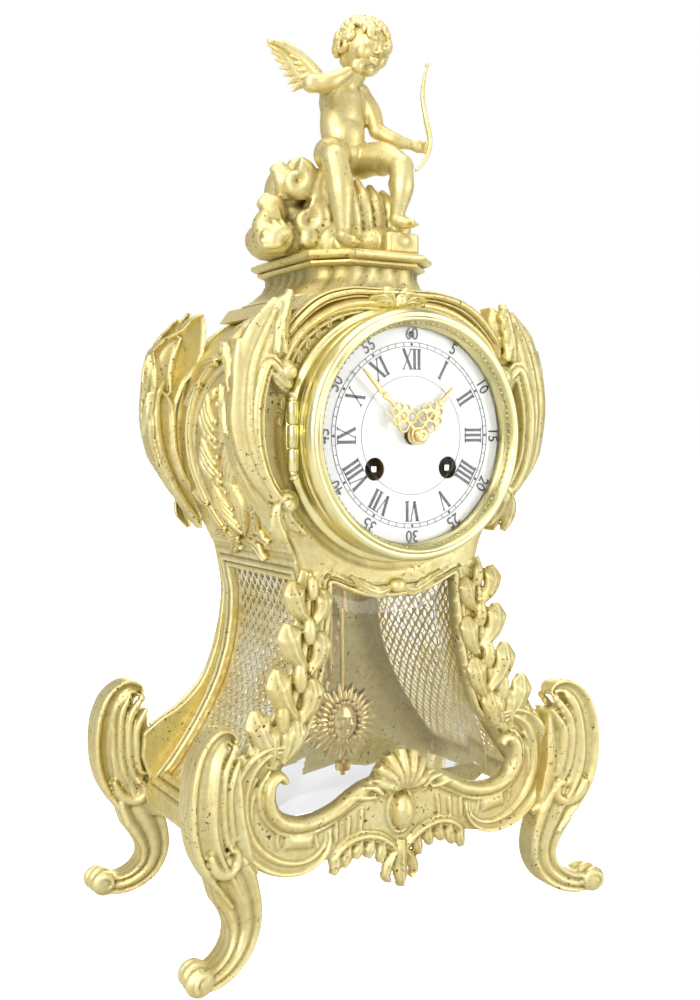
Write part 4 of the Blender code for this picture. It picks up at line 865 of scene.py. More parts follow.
made = cast(wing.object("wing", GILT), 0.62, 4)
wing_mesh = made.data


def mirrored_copy(source, name, sx, sy, mat):
    """Mirrored twin of a cast piece."""
    mesh = source.copy()
    mesh.name = name
    mesh.transform(Matrix.Diagonal((sx, sy, 1, 1)))
    if sx * sy < 0:
        mesh.flip_normals()
    twin = bpy.data.objects.new(name, mesh)
    bpy.context.scene.collection.objects.link(twin)
    mesh.materials.clear()
    mesh.materials.append(mat)
    return twin


for fb, sy in (("front", 1), ("back", -1)):
    for lr, sx in (("right", 1), ("left", -1)):
        twin = mirrored_copy(wing_mesh, f"corner_wing_{fb}_{lr}", sx, sy, GILT)
        place(twin, "case", [f"wing_{fb}_{lr}"], "gilt_bronze")
bpy.data.objects.remove(made)

# ------------------------------------------------------------------ legs
def leg_mid(x):
    """Y of the middle of a leg."""
    return -51.3 - 0.33 * (x - 77)


def leg_outer(x, z, h):
    """Front face of a leg."""
    return np.stack([x, leg_mid(x) - 5.0 - h, z + 0 * h], -1)


def leg_inner(x, z, h):
    """Rear face of a leg."""
    return np.stack([x, leg_mid(x) + 5.0 + h, z + 0 * h], -1)


SCROLL_LOOP = [(1.0, 0.0), (1.04, 0.28), (0.96, 0.5), (1.0, 0.75), (0.9, 1.0), (0.72, 1.06), (0.56, 0.92),
               (0.42, 0.7), (0.1, 0.6), (-0.25, 0.66), (-0.5, 0.88), (-0.7, 1.02), (-0.9, 0.95),
               (-1.0, 0.6), (-0.96, 0.3), (-1.0, 0.0)]
SHANK_LOOP = [(1.0, 0.0), (1.05, 0.3), (0.94, 0.55), (0.96, 0.85), (0.78, 1.02), (0.6, 0.9), (0.42, 0.72),
              (0.2, 0.95), (0.0, 1.04), (-0.2, 0.95), (-0.42, 0.74), (-0.62, 0.9), (-0.82, 0.98),
              (-0.98, 0.7), (-1.0, 0.0)]
FLANK_LOOP = [(1.0, 0.0), (1.0, 0.5), (0.8, 0.8), (0.2, 0.86), (-0.4, 0.92), (-0.8, 0.98), (-1.0, 0.8),
              (-1.0, 0.0)]


def band(clay, path, half, deep, loop, mid, count=80):
    """Thick moulded band standing on edge: half is its half-width, deep its half-thickness in Y."""
    line = curve(path, count)
    ahead = np.gradient(line, axis=0)
    ahead /= np.linalg.norm(ahead, axis=1)[:, None] + 1e-9
    side = np.stack([-ahead[:, 1], ahead[:, 0]], 1)
    wide, thick = along(half, count), along(deep, count)
    whole = list(loop) + [(a, -b) for a, b in reversed(loop[1:-1])]
    rings = []
    for i in range(count):
        ring = []
        for a, b in whole:
            x = line[i, 0] + side[i, 0] * a * wide[i]
            z = line[i, 1] + side[i, 1] * a * wide[i]
            ring.append((x, mid(line[i, 0]) + b * thick[i], z))
        rings.append(ring)
    clay.sleeve(rings)


leg = Clay()
band(leg, [(86.0, 99.5), (87.6, 103.2), (93, 103.6), (98.6, 98), (102.0, 87), (103.0, 73), (101.4, 61),
           (97.2, 51.0), (91.0, 41.5), (86.0, 33)],
     [1.8, 3.8, 5.4, 6.2, 6.2, 6.0, 5.8, 5.2, 4.6, 3.4],
     [4.4, 6.0, 6.8, 7.2, 7.2, 7.2, 7.2, 7.2, 7.0, 6.6], SCROLL_LOOP, leg_mid, 110)
band(leg, [(86.4, 93), (87.2, 80), (88.0, 66), (86.0, 54), (82.0, 45.0), (75.6, 41.0)],
     [3.2, 4.6, 6.2, 7.6, 7.0, 3.4], [4.8, 5.2, 5.6, 6.0, 6.4, 6.4], FLANK_LOOP, leg_mid, 60)
band(leg, [(93.5, 95), (95.2, 84), (95.0, 72), (93.5, 58)], [3.4, 5.8, 6.6, 6.4], [4.6, 5.2, 5.2, 5.4],
     FLANK_LOOP, leg_mid, 40)
band(leg, [(92.0, 56), (88.5, 45), (84.4, 36), (81.7, 28), (81.2, 20.5), (84.0, 13.2), (89.8, 7.8),
           (96.8, 5.2), (103.0, 5.6)],
     [6.0, 9.6, 10.6, 9.2, 8.0, 6.8, 5.7, 4.9, 4.6], [5.2, 6.4, 7.2, 7.2, 7.0, 6.8, 6.8, 6.8, 6.8],
     SHANK_LOOP, leg_mid, 90)
TOE = (105.4, 6.8)
for off in (-5.2, 0.0, 5.2):
    leg.blob((TOE[0] - 0.33 * off * 0.3, leg_mid(TOE[0]) + off, TOE[1] - (0.3 if off else 0.0)),
             (6.4, 3.3, 6.5 if off == 0 else 6.1), rings=12, around=24)
for face in (leg_outer, leg_inner):
    strand(leg, spiral(104.6, 6.8, 0.8, 4.4, 60, -1.3), [0.9, 1.3, 1.4], 3.6, ROUND, face, count=50)
    for k, (top, x0) in enumerate(((100, 97.0), (97.5, 93.2), (93.5, 89.6))):
        strand(leg, [(x0 - 5.5, top), (x0 - 1.2, top - 8), (x0, 80), (x0 - 0.6, 68), (x0 - 3.0, 58 + 1.5 * k),
                     (x0 - 6.6, 54.5 + 3.5 * k)],
               [1.0, 1.9, 2.1, 2.1, 1.8, 0.7], [2.0, 3.2, 3.2, 2.8, 2.2, 1.2], ROUND, face, base=0.2,
               count=50)
    strand(leg, [(100.5, 58), (97, 50.5), (91, 47.4), (86.4, 50), (86.6, 55.6), (90.2, 57.4)],
           [1.4, 2.4, 2.6, 2.4, 2.0, 1.2], 3.0, ROUND, face, base=0.8, count=50)
    for k in range(4):
        leg.blob(face(np.array(86.2 + 1.7 * k), np.array(98.6 - 3.0 * k), np.array(0.4)), (1.7, 2.2, 2.1),
                 rings=8, around=12)
made = cast(leg.object("leg", GILT), 0.68, 2)
leg_mesh = made.data
for fb, sy in (("front", 1), ("back", -1)):
    for lr, sx in (("right", 1), ("left", -1)):
        twin = mirrored_copy(leg_mesh, f"scroll_leg_{fb}_{lr}", sx, sy, GILT)
        place(twin, "case", [f"leg_{fb}_{lr}"], "gilt_bronze")
bpy.data.objects.remove(made)

# ------------------------------------------------------------------ apron and garlands
APRON = [(0, 80), (10, 78), (15, 72), (26, 66.5), (38, 61), (50, 58), (60, 61), (65, 69), (63, 82),
         (55, 89.5), (60, 92), (70, 89), (80, 81), (83, 68), (80, 52), (70, 42), (56, 36), (44, 38),
         (38, 44), (28, 44.5), (20, 44.5), (11, 41), (4.5, 33), (0, 30)]


def apron_face(x, z, h):
    """Front of the apron plate."""
    return np.stack([x, -50.0 - h, z + 0 * h], -1)


apron = Clay()
apron_line = both_sides(smooth_half(APRON, 80))
plate(apron, apron_line, -47.4, -50.0, [(0, -1.0), (0.8, 0.2), (3, 0.4)], FINE)
GROUND = [(0, 70), (14, 69), (28, 63), (44, 57.5), (58, 58), (66, 64), (71, 76), (77, 79), (81, 66),
          (80, 52), (66, 40), (46, 38), (36, 40), (20, 42), (0, 34)]
plate(apron, both_sides(smooth_half(GROUND, 70)), -48.0, -51.2, [(0, 0.0), (2, 0.8), (4, 1.0)], FINE)
trim = Clay()
strand(trim, [(7.5, 63.5), (10.5, 68.5), (17, 69.8), (25, 66.6), (34, 61.6), (44, 58.6), (54, 58.4),
              (62.5, 62.0), (67.0, 69), (66.6, 77.5), (62.0, 81.0), (58.4, 78.0)],
       [1.6, 2.8, 3.3, 3.4, 3.4, 3.4, 3.5, 3.7, 3.9, 3.8, 3.0, 1.8], [3.5, 6.0, 6.6, 6.2, 6.0, 6.2, 6.4, 5.0],
       ROUND, apron_face, count=110)
strand(trim, [(12, 63.0), (19, 64.6), (28, 60.6), (40, 54.8), (52, 53.8), (63, 57.0), (70.5, 66),
              (71.4, 77), (66, 84.5)], [0.6, 1.1, 1.2, 1.1, 1.1, 1.2, 1.3, 1.2, 0.8], 3.4, ROUND,
       apron_face, count=80)
WIDE_RIM = [(1.0, 0.0), (0.99, 0.5), (0.9, 0.86), (0.72, 1.0), (0.5, 0.9), (0.3, 0.66), (0.1, 0.56),
            (-0.12, 0.62), (-0.3, 0.74), (-0.48, 0.66), (-0.66, 0.42), (-0.85, 0.32), (-1.0, 0.0)]
strand(trim, [(54.5, 89.5), (60, 92.0), (68, 91.5), (76.0, 86.0), (80.4, 76), (80.2, 64), (75.5, 52.5),
              (66, 44.0), (55, 40.4), (45.5, 41.6), (39.6, 46.6), (38.4, 53.4)],
       [1.2, 2.8, 4.6, 6.2, 6.6, 6.4, 6.0, 5.4, 4.6, 3.8, 2.8, 1.6],
       [2.6, 4.6, 6.0, 6.4, 6.4, 6.4, 6.2, 6.0, 6.0, 5.6, 5.0, 3.6],
       [(-a, b) for a, b in reversed(WIDE_RIM)], apron_face, count=130)
for k, (x0, z0, tilt_x) in enumerate(((20.5, 55.5, 1.0), (27.5, 53.6, 0.6), (34.0, 51.8, 0.2))):
    strand(trim, [(x0, z0 + 4.2), (x0 + tilt_x * 0.4, z0), (x0 + tilt_x, z0 - 4.6)], [1.0, 1.5, 0.9], 3.4,
           ROUND, apron_face, base=0.2, count=10)
plate(trim, [(45, 53.2), (46.4, 46.6), (60.5, 48.6), (59.4, 55.4)], -50, -52.0,
      [(0, 0.2), (1.4, 1.6), (3, 2.0)], FINE)
for x0, z0, x1, z1 in ((44.0, 58, 43.4, 46.5), (62.4, 58.0, 62.8, 49.6), (74.6, 74, 74.8, 62),
                       (72.4, 82, 76.6, 73)):
    strand(trim, [(x0, z0), ((x0 + x1) / 2 + 0.9, (z0 + z1) / 2), (x1, z1)], [0.8, 1.2, 0.8], 2.6, ROUND,
           apron_face, base=0.4, count=10)
strand(trim, [(0.5, 35.5), (5.5, 41.0), (12, 45.6), (20.5, 47.4), (28.5, 45.6), (34.2, 40.8),
              (35.4, 36.6)], [1.6, 2.5, 2.8, 2.8, 2.8, 2.6, 1.8], [3.4, 5.0, 5.4, 5.2, 5.0, 4.6, 3.4], REEDS,
       apron_face, count=70)
for x0, z0, dx, dz in ((9.5, 42, 1.2, -8.5), (15.5, 44.5, 1.6, -7.6), (21.5, 44.8, 2.2, -7.0),
                       (27.5, 43.4, 2.4, -8.4), (33.6, 40.6, 1.6, -8.0)):
    leaf(trim, [(x0, z0 + 1.5), (x0 + dx * 0.3, z0 + dz * 0.5), (x0 + dx, z0 + dz)], [1.8, 3.0, 1.4], 1,
         4.0, surface=apron_face, across=5, depth=0.1)
leaf(trim, [(3.0, 37), (6.5, 31), (7.6, 26), (5.6, 23.6)], [1.8, 2.8, 2.6, 1.0], 1, 4.2,
     surface=apron_face, across=5, depth=0.1)
for x0, x1, top in ((12, 17, 76), (15.5, 21.5, 73.6), (19.5, 27, 70.0)):
    strand(trim, [(x0 - 4.5, 65.5), (x0, top - 4.5), (x1, top - 3)], [1.2, 1.9, 0.8], 5.4, ROUND, apron_face,
           base=1.6, count=16)
apron_trim = trim.mirrored_x()
for k in range(7):
    a = math.radians(160 - 23.4 * k)
    reach = 17.2 + 1.4 * math.cos(a * 2) * -1
    strand(apron_trim, [(2.5 * math.cos(a), 66.5),
                        (0.55 * reach * math.cos(a), 66.5 + 0.55 * reach * math.sin(a)),
                        (reach * math.cos(a), 66.5 + reach * math.sin(a))],
           [1.2, 2.4, 3.3, 3.5, 2.4], [5.5, 8.0, 8.6, 7.0, 4.6], ROUND, apron_face, base=1.0, count=24)
apron_trim.blob((0, -53.6, 56.0), (5.6, 6.6, 8.6), rings=12, around=20)
strand(apron_trim, [(6.9 * math.cos(a), 56 + 10.2 * math.sin(a)) for a in np.linspace(0, 2 * math.pi, 30)],
       0.9, 3.4, ROUND, apron_face, count=70)
leaf(apron_trim, [(0, 43), (0, 36), (0, 28), (0, 20.8)], [2.2, 3.8, 4.0, 1.4], 2, 5.4,
     surface=apron_face, depth=0.2)
apron.put(apron_trim.verts, apron_trim.faces)
made = cast(apron.object("apron", GILT), 0.62, 2)
place(made, "case", ["front_apron"], "gilt_bronze")

GARLAND = [(39, 169), (48.5, 170), (51.5, 161), (49, 152), (54, 143), (53.5, 129), (57, 117),
           (67, 100.5), (80, 93), (81, 85), (68, 84), (60, 87), (52.5, 98), (45.5, 115),
           (41.5, 130), (39.5, 146)]


def garland_face(x, z, h):
    """Face of the corner post."""
    return np.stack([x, -48.8 - h, z + 0 * h], -1)


post = Clay()
plate(post, GARLAND, -47.4, -48.8, [(0, -0.6), (1, 0.2), (3, 0.4)], FINE)
stem = np.array([(45.0, 168), (46.5, 150), (48.5, 132), (52.5, 116), (60, 101), (72, 90)])
strand(post, stem, [1.2, 1.6, 1.8, 2.2, 2.6, 2.4], 2.8, ROUND, garland_face)


def tongue(clay, x, z, dx, dz, bow, width, rise, base=0.6):
    """Smooth leaf, bowed to one side and narrowing to a low tip."""
    n = math.hypot(dx, dz)
    px, pz = -dz / n * bow, dx / n * bow
    path = [(x, z), (x + 0.4 * dx + px, z + 0.4 * dz + pz),
            (x + 0.8 * dx + 0.7 * px, z + 0.8 * dz + 0.7 * pz), (x + dx, z + dz)]
    leaf(clay, path, [width * 0.45, width * 0.9, width * 1.15, width * 0.25], 1,
         [rise * 0.6, rise, rise * 1.15, rise * 0.5], surface=garland_face, base=base, across=6,
         depth=0.04, cup=0.55, rib=0.7)


SPRAY = ((45.2, 156, 1.15), (47.0, 136.5, 1.3), (51.8, 116.0, 1.4), (60.5, 99.5, 1.4))
for k, (x, z, size) in enumerate(SPRAY):
    tongue(post, x + 0.8, z - 8 * size, (6.6 if k < 3 else 8.0) * size, 16 * size, -2.6, 4.0 * size, 4.8)
    tongue(post, x - 0.8, z - 10 * size, -4.6 * size, 14 * size, 2.2, 3.6 * size, 4.2)
    post.blob(garland_face(np.array(x - 0.6), np.array(z + 4.8 * size), np.array(3.0)),
              (2.4 * size, 2.2 * size, 4.8 * size), rings=10, around=14)
for x0, z0, dx, dz, wide in ((60, 86, -3.0, 17, 3.4), (65, 85.5, 1.0, 18, 3.6), (71, 85, 5.5, 12, 3.2),
                             (56.5, 88, -5.5, 13, 3.0), (75, 85, 7.0, 6, 2.6)):
    tongue(post, x0, z0, dx, dz, 0.8, wide, 4.4)
made = cast(post.object("garland", GILT), 0.6, 3)
post_mesh = made.data
for lr, sx in (("right", 1), ("left", -1)):
    twin = mirrored_copy(post_mesh, f"husk_garland_{lr}", sx, 1, GILT)
    place(twin, "case", [f"garland_{lr}"], "gilt_bronze")
bpy.data.objects.remove(made)

# ------------------------------------------------------------------ bezel, seats and doors
ring = Clay()
BEZEL_LINE = [(52.0, -58.4), (55.0, -58.4), (55.0, -60.6), (54.0, -61.2), (54.3, -62.2), (55.2, -63.2),
              (55.7, -64.8), (55.8, -66.4), (55.4, -68.2), (54.6, -69.6), (53.6, -70.5), (52.7, -70.6),
              (52.2, -70.2), (51.9, -70.6), (51.6, -71.4), (51.0, -71.9), (50.4, -71.7), (50.0, -71.0),
              (49.8, -70.2), (49.5, -69.7), (49.4, -68.6), (49.0, -68.2), (48.7, -67.4), (48.6, -66.4),
              (48.0, -65.9), (47.7, -65.2), (47.6, -63.4), (50.6, -63.4), (52.0, -62.0)]
lathe(ring, BEZEL_LINE, (0, 0, DIAL_Z), around=160)
BEADS = 110
for k in range(BEADS):
    a = 2 * math.pi * k / BEADS
    ring.blob((49.15 * math.cos(a), -68.6, DIAL_Z + 49.15 * math.sin(a)), (0.95, 0.95, 0.95), rings=4,
              around=6)


KNUCKLES, KNUCKLE_R, HINGE_LONG = 3, 2.5, 30.0


def knuckles(clay, x, y, z, parts=KNUCKLES, radius=KNUCKLE_R, length=HINGE_LONG):
    """Turned hinge knuckles, one above another."""
    for k in range(parts):
        low = z - length / 2 + k * length / parts
        high = low + length / parts - 0.25
        line = [(0.01, low), (radius - 0.5, low), (radius, low + 0.5), (radius, high - 0.5),
                (radius - 0.5, high), (0.01, high)]
        lathe(clay, line, (x, y, 0), "Z", 14, closed=False)
    clay.blob((x, y, z + length / 2 + 0.6), (radius * 0.8, radius * 0.8, 1.3), rings=6, around=12)
    clay.blob((x, y, z - length / 2 - 0.6), (radius * 0.8, radius * 0.8, 1.3), rings=6, around=12)


made = ring.object("bezel", BEZEL)
place(made, "front_door", ["front_door_ring"], "turned_gilt")

seat = Clay()
lathe(seat, [(50.0, FRONT + 4.2), (54.2, FRONT + 4.2), (54.2, FRONT - 2.6), (57.0, FRONT - 2.8),
             (57.6, FRONT - 4.0), (57.0, FRONT - 5.2), (55.4, FRONT - 5.6), (54.6, FRONT - 6.6),
             (54.4, FRONT - 8.2), (54.8, FRONT - 9.2), (54.2, FRONT - 11.0), (50.0, FRONT - 11.0)],
      (0, 0, DIAL_Z), around=128)
knuckles(seat, -HINGE_X, SEAT_FRONT - 0.3, DIAL_Z)
made = seat.object("front_seat", BEZEL)
place(made, "case", ["front_seat_ring"], "turned_gilt")

rear_seat = Clay()
lathe(rear_seat, [(50.0, BACK - 4.2), (54.2, BACK - 4.2), (54.2, BACK + 2.6), (56.6, BACK + 2.9),
                  (57.2, BACK + 4.0), (56.4, BACK + 5.2), (54.8, BACK + 6.0), (54.4, BACK + 8.6),
                  (54.2, BACK + 11.0), (50.0, BACK + 11.0)], (0, 0, DIAL_Z), around=128)
knuckles(rear_seat, HINGE_X, SEAT_BACK + 0.3, DIAL_Z)
made = rear_seat.object("rear_seat", BEZEL)
place(made, "case", ["back_seat_ring"], "turned_gilt")

cover = Clay()
lathe(cover, [(0.01, 60.2), (49.6, 60.2), (50.2, 58.4), (54.8, 58.4), (55.2, 60.0), (54.6, 61.6),
              (53.2, 62.4), (52.2, 62.0), (51.6, 62.6), (50.4, 63.2), (48.6, 62.8), (47.4, 61.8),
              (44, 61.9), (20, 62.3),
              (0.01, 62.5)], (0, 0, DIAL_Z), around=128, closed=False)
KNOB = (-44.0, DIAL_Z)
lathe(cover, [(0.01, 61.8), (3.0, 61.8), (3.2, 62.8), (1.7, 64.0), (1.5, 67.5), (2.2, 68.6), (3.6, 69.6),
              (4.4, 71.4), (4.3, 73.4), (3.2, 75.2), (1.4, 75.9), (0.01, 76.0)], (KNOB[0], 0, KNOB[1]),
      around=32, closed=False)
made = cover.object("rear_cover", BEZEL)
place(made, "back_door", ["back_door"], "turned_gilt")

# ------------------------------------------------------------------ dial
HOLES = ((19.4, 213.0, 5.0), (-19.4, 213.0, 5.0))
ENAMEL_R, CENTRE_R = 47.9, 4.0
REGULATOR_OUT, REGULATOR_R = 44.6, 1.5
TRACK_IN, TRACK_OUT, HAIRLINE, INNER_RING = 39.2, 41.0, 0.22, 26.2
FIGURE_OUT, FIGURE_SIZE = 44.5, 7.6
DIAL_FRONT = np.array(DIAL_LOW)[1] / MM


def dial_distance(x, z):
    d = ENAMEL_R - np.hypot(x, z - DIAL_Z)
    for hx, hz, r in HOLES:
        d = np.minimum(d, np.hypot(x - hx, z - hz) - r)
    d = np.minimum(d, np.hypot(x, z - (DIAL_Z + REGULATOR_OUT)) - REGULATOR_R)
    return np.minimum(d, np.hypot(x, z - DIAL_Z) - CENTRE_R)


def dial_surface(x, z, h):
    return np.stack([x, DIAL_FRONT - h + 0 * x, z], -1)


enamel = Clay()
step = 0.7
sheet(enamel, np.arange(-49, 49 + step, step), np.arange(DIAL_Z - 49, DIAL_Z + 49 + step, step),
      dial_distance, lambda x, z: -0.25 * (np.hypot(x, z - DIAL_Z) / 48) ** 2, dial_surface, 0.8)
made = enamel.object("dial_plate", ENAMEL)
place(made, "case", ["dial"], "dial_enamel")

ink = Clay()
INK_Y = DIAL_FRONT - 0.02


def inked(points):
    """Flat ink shape from a closed 2-D outline, with a little thickness."""
    count = len(points)
    verts = [(x, INK_Y - 0.05, z) for x, z in points] + [(x, INK_Y + 0.15, z) for x, z in points]
    faces = [tuple(range(count)), tuple(range(2 * count - 1, count - 1, -1))]
    faces += [(i, (i + 1) % count, count + (i + 1) % count, count + i) for i in range(count)]
    ink.put(verts, faces)


def ink_ring(radius, width):
    lathe(ink, [(radius - width / 2, INK_Y - 0.05), (radius + width / 2, INK_Y - 0.05),
                (radius + width / 2, INK_Y + 0.15), (radius - width / 2, INK_Y + 0.15)],
          (0, 0, DIAL_Z), around=120)


def at_hour(angle, across, out):
    """Point on the dial: angle clockwise from 12 in degrees, across and outward in mm."""
    a = math.radians(angle)
    return (out * math.sin(a) + across * math.cos(a), DIAL_Z + out * math.cos(a) - across * math.sin(a))


def stroke(angle, x0, r0, x1, r1, width):
    """Straight ink stroke in the turned frame of an hour mark."""
    dx, dr = x1 - x0, r1 - r0
    n = math.hypot(dx, dr)
    px, pr = dr / n * width / 2, -dx / n * width / 2
    inked([at_hour(angle, x0 + px, r0 + pr), at_hour(angle, x1 + px, r1 + pr),
           at_hour(angle, x1 - px, r1 - pr), at_hour(angle, x0 - px, r0 - pr)])


LOW, HIGH = 29.2, 38.0
THICK, THIN, SERIF = 1.35, 0.42, 0.38
NUMERALS = ["XII", "I", "II", "III", "IIII", "V", "VI", "VII", "VIII", "IX", "X", "XI"]
ADVANCE = {"I": 2.35, "V": 5.2, "X": 5.4}
for hour, word in enumerate(NUMERALS):
    angle = 30 * hour
    width = sum(ADVANCE[c] for c in word)
    x = -width / 2
    for c in word:
        w = ADVANCE[c]
        mid = x + w / 2
        reach = w / 2 - 0.55
        if c == "I":
            stroke(angle, mid, LOW, mid, HIGH, THICK)
            for r in (LOW, HIGH):
                stroke(angle, mid - 1.15, r, mid + 1.15, r, SERIF)
        elif c == "V":
            stroke(angle, mid - reach + 0.35, HIGH, mid, LOW, THICK)
            stroke(angle, mid + reach - 0.2, HIGH, mid, LOW, THIN)
            stroke(angle, mid - reach - 0.55, HIGH, mid - reach + 1.25, HIGH, SERIF)
            stroke(angle, mid + reach - 1.0, HIGH, mid + reach + 0.5, HIGH, SERIF)
        else:
            stroke(angle, mid - reach + 0.2, HIGH, mid + reach - 0.2, LOW, THICK)
            stroke(angle, mid + reach - 0.2, HIGH, mid - reach + 0.2, LOW, THIN)
            for r in (LOW, HIGH):
                stroke(angle, mid - reach - 0.5, r, mid - reach + 1.0, r, SERIF)
                stroke(angle, mid + reach - 1.0, r, mid + reach + 0.5, r, SERIF)
        x += w
for radius in (TRACK_IN, TRACK_OUT, INNER_RING):
    ink_ring(radius, HAIRLINE)
for k in range(60):
    if k % 5:
        stroke(6 * k, 0, TRACK_IN, 0, TRACK_OUT, HAIRLINE)
    else:
        inked([at_hour(6 * k, 0.62 * math.cos(t), 40.1 + 0.62 * math.sin(t))
               for t in np.linspace(0, 2 * math.pi, 12, endpoint=False)])
made = ink.object("dial_marks", INK, smooth=False)
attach(made, "case")

figures = []
for k in range(1, 13):
    text = bpy.data.curves.new(f"minute_{k}", "FONT")
    text.body = str(5 * k)
    text.size = FIGURE_SIZE * MM
    text.align_x = "CENTER"
    text.align_y = "CENTER"
    text.extrude = 0.00008
    text.offset = 0.00001
    holder = bpy.data.objects.new(f"minute_{k}", text)
    bpy.context.scene.collection.objects.link(holder)
    a = math.radians(30 * k)
    place_at = Matrix.Translation((FIGURE_OUT * math.sin(a) * MM, (INK_Y - 0.02) * MM,
                                   (DIAL_Z + FIGURE_OUT * math.cos(a)) * MM))
    spin = Matrix.Rotation(a, 4, "Y") @ Matrix.Rotation(math.pi / 2, 4, "X")
    shape = Matrix.Diagonal((0.9, 1.0, 1.0, 1.0))
    bpy.context.view_layer.update()
    graph = bpy.context.evaluated_depsgraph_get()
    mesh = bpy.data.meshes.new_from_object(holder.evaluated_get(graph))
    mesh.transform(place_at @ spin @ shape)
    piece = bpy.data.objects.new(f"figure_{k}", mesh)
    bpy.context.scene.collection.objects.link(piece)
    bpy.data.objects.remove(holder)
    figures.append(piece)
made = joined("dial_figures", figures, INK)
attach(made, "case")


# ------------------------------------------------------------------ hands
def capsule(x, z, x0, z0, x1, z1, r0, r1):
    """Signed distance (inside positive) to a tapered stroke."""
    dx, dz = x1 - x0, z1 - z0
    t = np.clip(((x - x0) * dx + (z - z0) * dz) / (dx * dx + dz * dz + 1e-9), 0, 1)
    return r0 + (r1 - r0) * t - np.hypot(x - x0 - t * dx, z - z0 - t * dz)


def hoop(x, z, cx, cz, rx, rz, width):
    """Signed distance to an oval hoop."""
    d = (np.hypot((x - cx) / rx, (z - cz) / rz) - 1) * min(rx, rz)
    return width / 2 - np.abs(d)


def hand_shape(length, scale):
    """Pierced hand pointing up from the origin."""
    def distance(x, z):
        x = np.abs(x)
        d = hoop(x, z, 0, 0, 3.2, 3.2, 1.6)
        for part in (capsule(x, z, 0, 3.4, 0, 6.0, 0.9, 0.7),
                     hoop(x, z, 2.3 * scale, 8.4, 2.1 * scale, 2.3, 0.8),
                     hoop(x, z, 0, 11.6, 1.9 * scale, 2.2, 0.8),
                     hoop(x, z, 3.0 * scale, 12.8, 1.5 * scale, 1.7, 0.75),
                     capsule(x, z, 3.9 * scale, 10.2, 1.4 * scale, 14.6, 0.5, 0.4),
                     hoop(x, z, 1.5 * scale, 16.0, 1.3 * scale, 1.8, 0.7),
                     capsule(x, z, 0, 6, 0, length * 0.7, 0.55, 0.45),
                     capsule(x, z, 1.1 * scale, length * 0.62, 0, length * 0.52, 0.4, 0.4),
                     hoop(x, z, 0, length * 0.70, 1.0, 1.6, 0.7),
                     capsule(x, z, 0, length * 0.72, 0, length * 0.9, 1.15, 0.6),
                     capsule(x, z, 0, length * 0.86, 0, length - 0.3, 0.8, 0.25)):
            d = np.maximum(d, part)
        return d
    return distance


def make_hand(name, node, body, length, angle, scale):
    low, high = [np.array(v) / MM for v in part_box(node)]
    a = math.radians(angle)

    def surface(x, z, h):
        y = np.where(h == -UNDERSIDE, high[1], low[1] + 0.05 - h)
        return np.stack([x * math.cos(a) + z * math.sin(a), y,
                         DIAL_Z + z * math.cos(a) - x * math.sin(a)], -1)

    clay = Clay()
    shape = hand_shape(length, scale)
    step = 0.24
    sheet(clay, np.arange(-7.5, 7.5 + step, step), np.arange(-5, length + 1, step), shape,
          lambda x, z: 0.35 * np.clip(shape(x, z) / 0.5, 0, 1) - 0.35, surface, UNDERSIDE)
    made = clay.object(name, BRIGHT)
    place(made, body, [node], "hand_gilt")


make_hand("hand_hour", "hour_hand", "hour", 29.6, 43, 1.35)
make_hand("hand_minute", "minute_hand", "centre", 40.6, -45, 1.2)
low, high = [np.array(v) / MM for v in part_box("hand_collet")]
boss = Clay()
lathe(boss, [(0.9, high[1]), (3.1, high[1]), (3.15, high[1] - 0.7), (2.7, high[1] - 0.9),
             (2.7, high[1] - 1.2), (3.0, high[1] - 1.5), (2.9, low[1] + 0.4), (2.4, low[1] + 0.05),
             (1.4, low[1]), (0.9, low[1] + 0.4)], (0, 0, DIAL_Z), around=40)
made = boss.object("collet", BRIGHT)
place(made, "centre", ["hand_collet"], "hand_gilt")


# ------------------------------------------------------------------ window pane
def pane_surface(x, z, h):
    return np.stack([x, np.where(h == -UNDERSIDE, pane_high, pane_low + 2.2 - h), z], -1)


pane_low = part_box("window_glass")[0][1] / MM
pane_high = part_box("window_glass")[1][1] / MM
PANE_LINE = both_sides([(0, 155.5), (17, 157), (34.5, 163.5), (35.5, 149), (37, 137), (38.8, 125),
                        (42.5, 110), (47, 97), (53, 86), (57.5, 74), (58.5, 63), (52, 58.6), (0, 58.6)])
pane = Clay()
sheet(pane, np.arange(-60, 60.1, 1.0), np.arange(57, 165, 1.0),
      lambda x, z: polygon_distance(x, z, PANE_LINE),
      lambda x, z: np.interp(polygon_distance(x, z, PANE_LINE), [0, 9.0, 9.6, 60], [0.2, 2.0, 2.1, 2.1]),
      pane_surface, UNDERSIDE)
made = pane.object("window_pane", PANE, smooth=False)
place(made, "case", ["window_glass"], "bevelled_pane")

# ------------------------------------------------------------------ pedestal


def octagon(hx, hy, cut):
    """Corners of a rectangle with cut corners, in order, as (x, y)."""
    cut = min(cut, hx * 0.9, hy * 0.9)
    corners = [(hx, -hy + cut), (hx, hy - cut), (hx - cut, hy), (-hx + cut, hy), (-hx, hy - cut),
               (-hx, -hy + cut), (-hx + cut, -hy), (hx - cut, -hy)]
    return corners


def octagon_ring(z, hx, hy, cut, per_side, wave=0.0, waves=3):
    """Ring of points round an octagon with fluting."""
    points = []
    corners = octagon(hx, hy, cut)
    for k in range(8):
        (x0, y0), (x1, y1) = corners[k], corners[(k + 1) % 8]
        length = math.hypot(x1 - x0, y1 - y0)
        nx, ny = (y1 - y0) / length, -(x1 - x0) / length
        count = max(1, round(waves * length / 24))
        for j in range(per_side):
            t = j / per_side
            push = wave * (abs(math.sin(math.pi * count * t)) - 0.5)
            points.append((x0 + (x1 - x0) * t + nx * push, y0 + (y1 - y0) * t + ny * push, z))
    return points


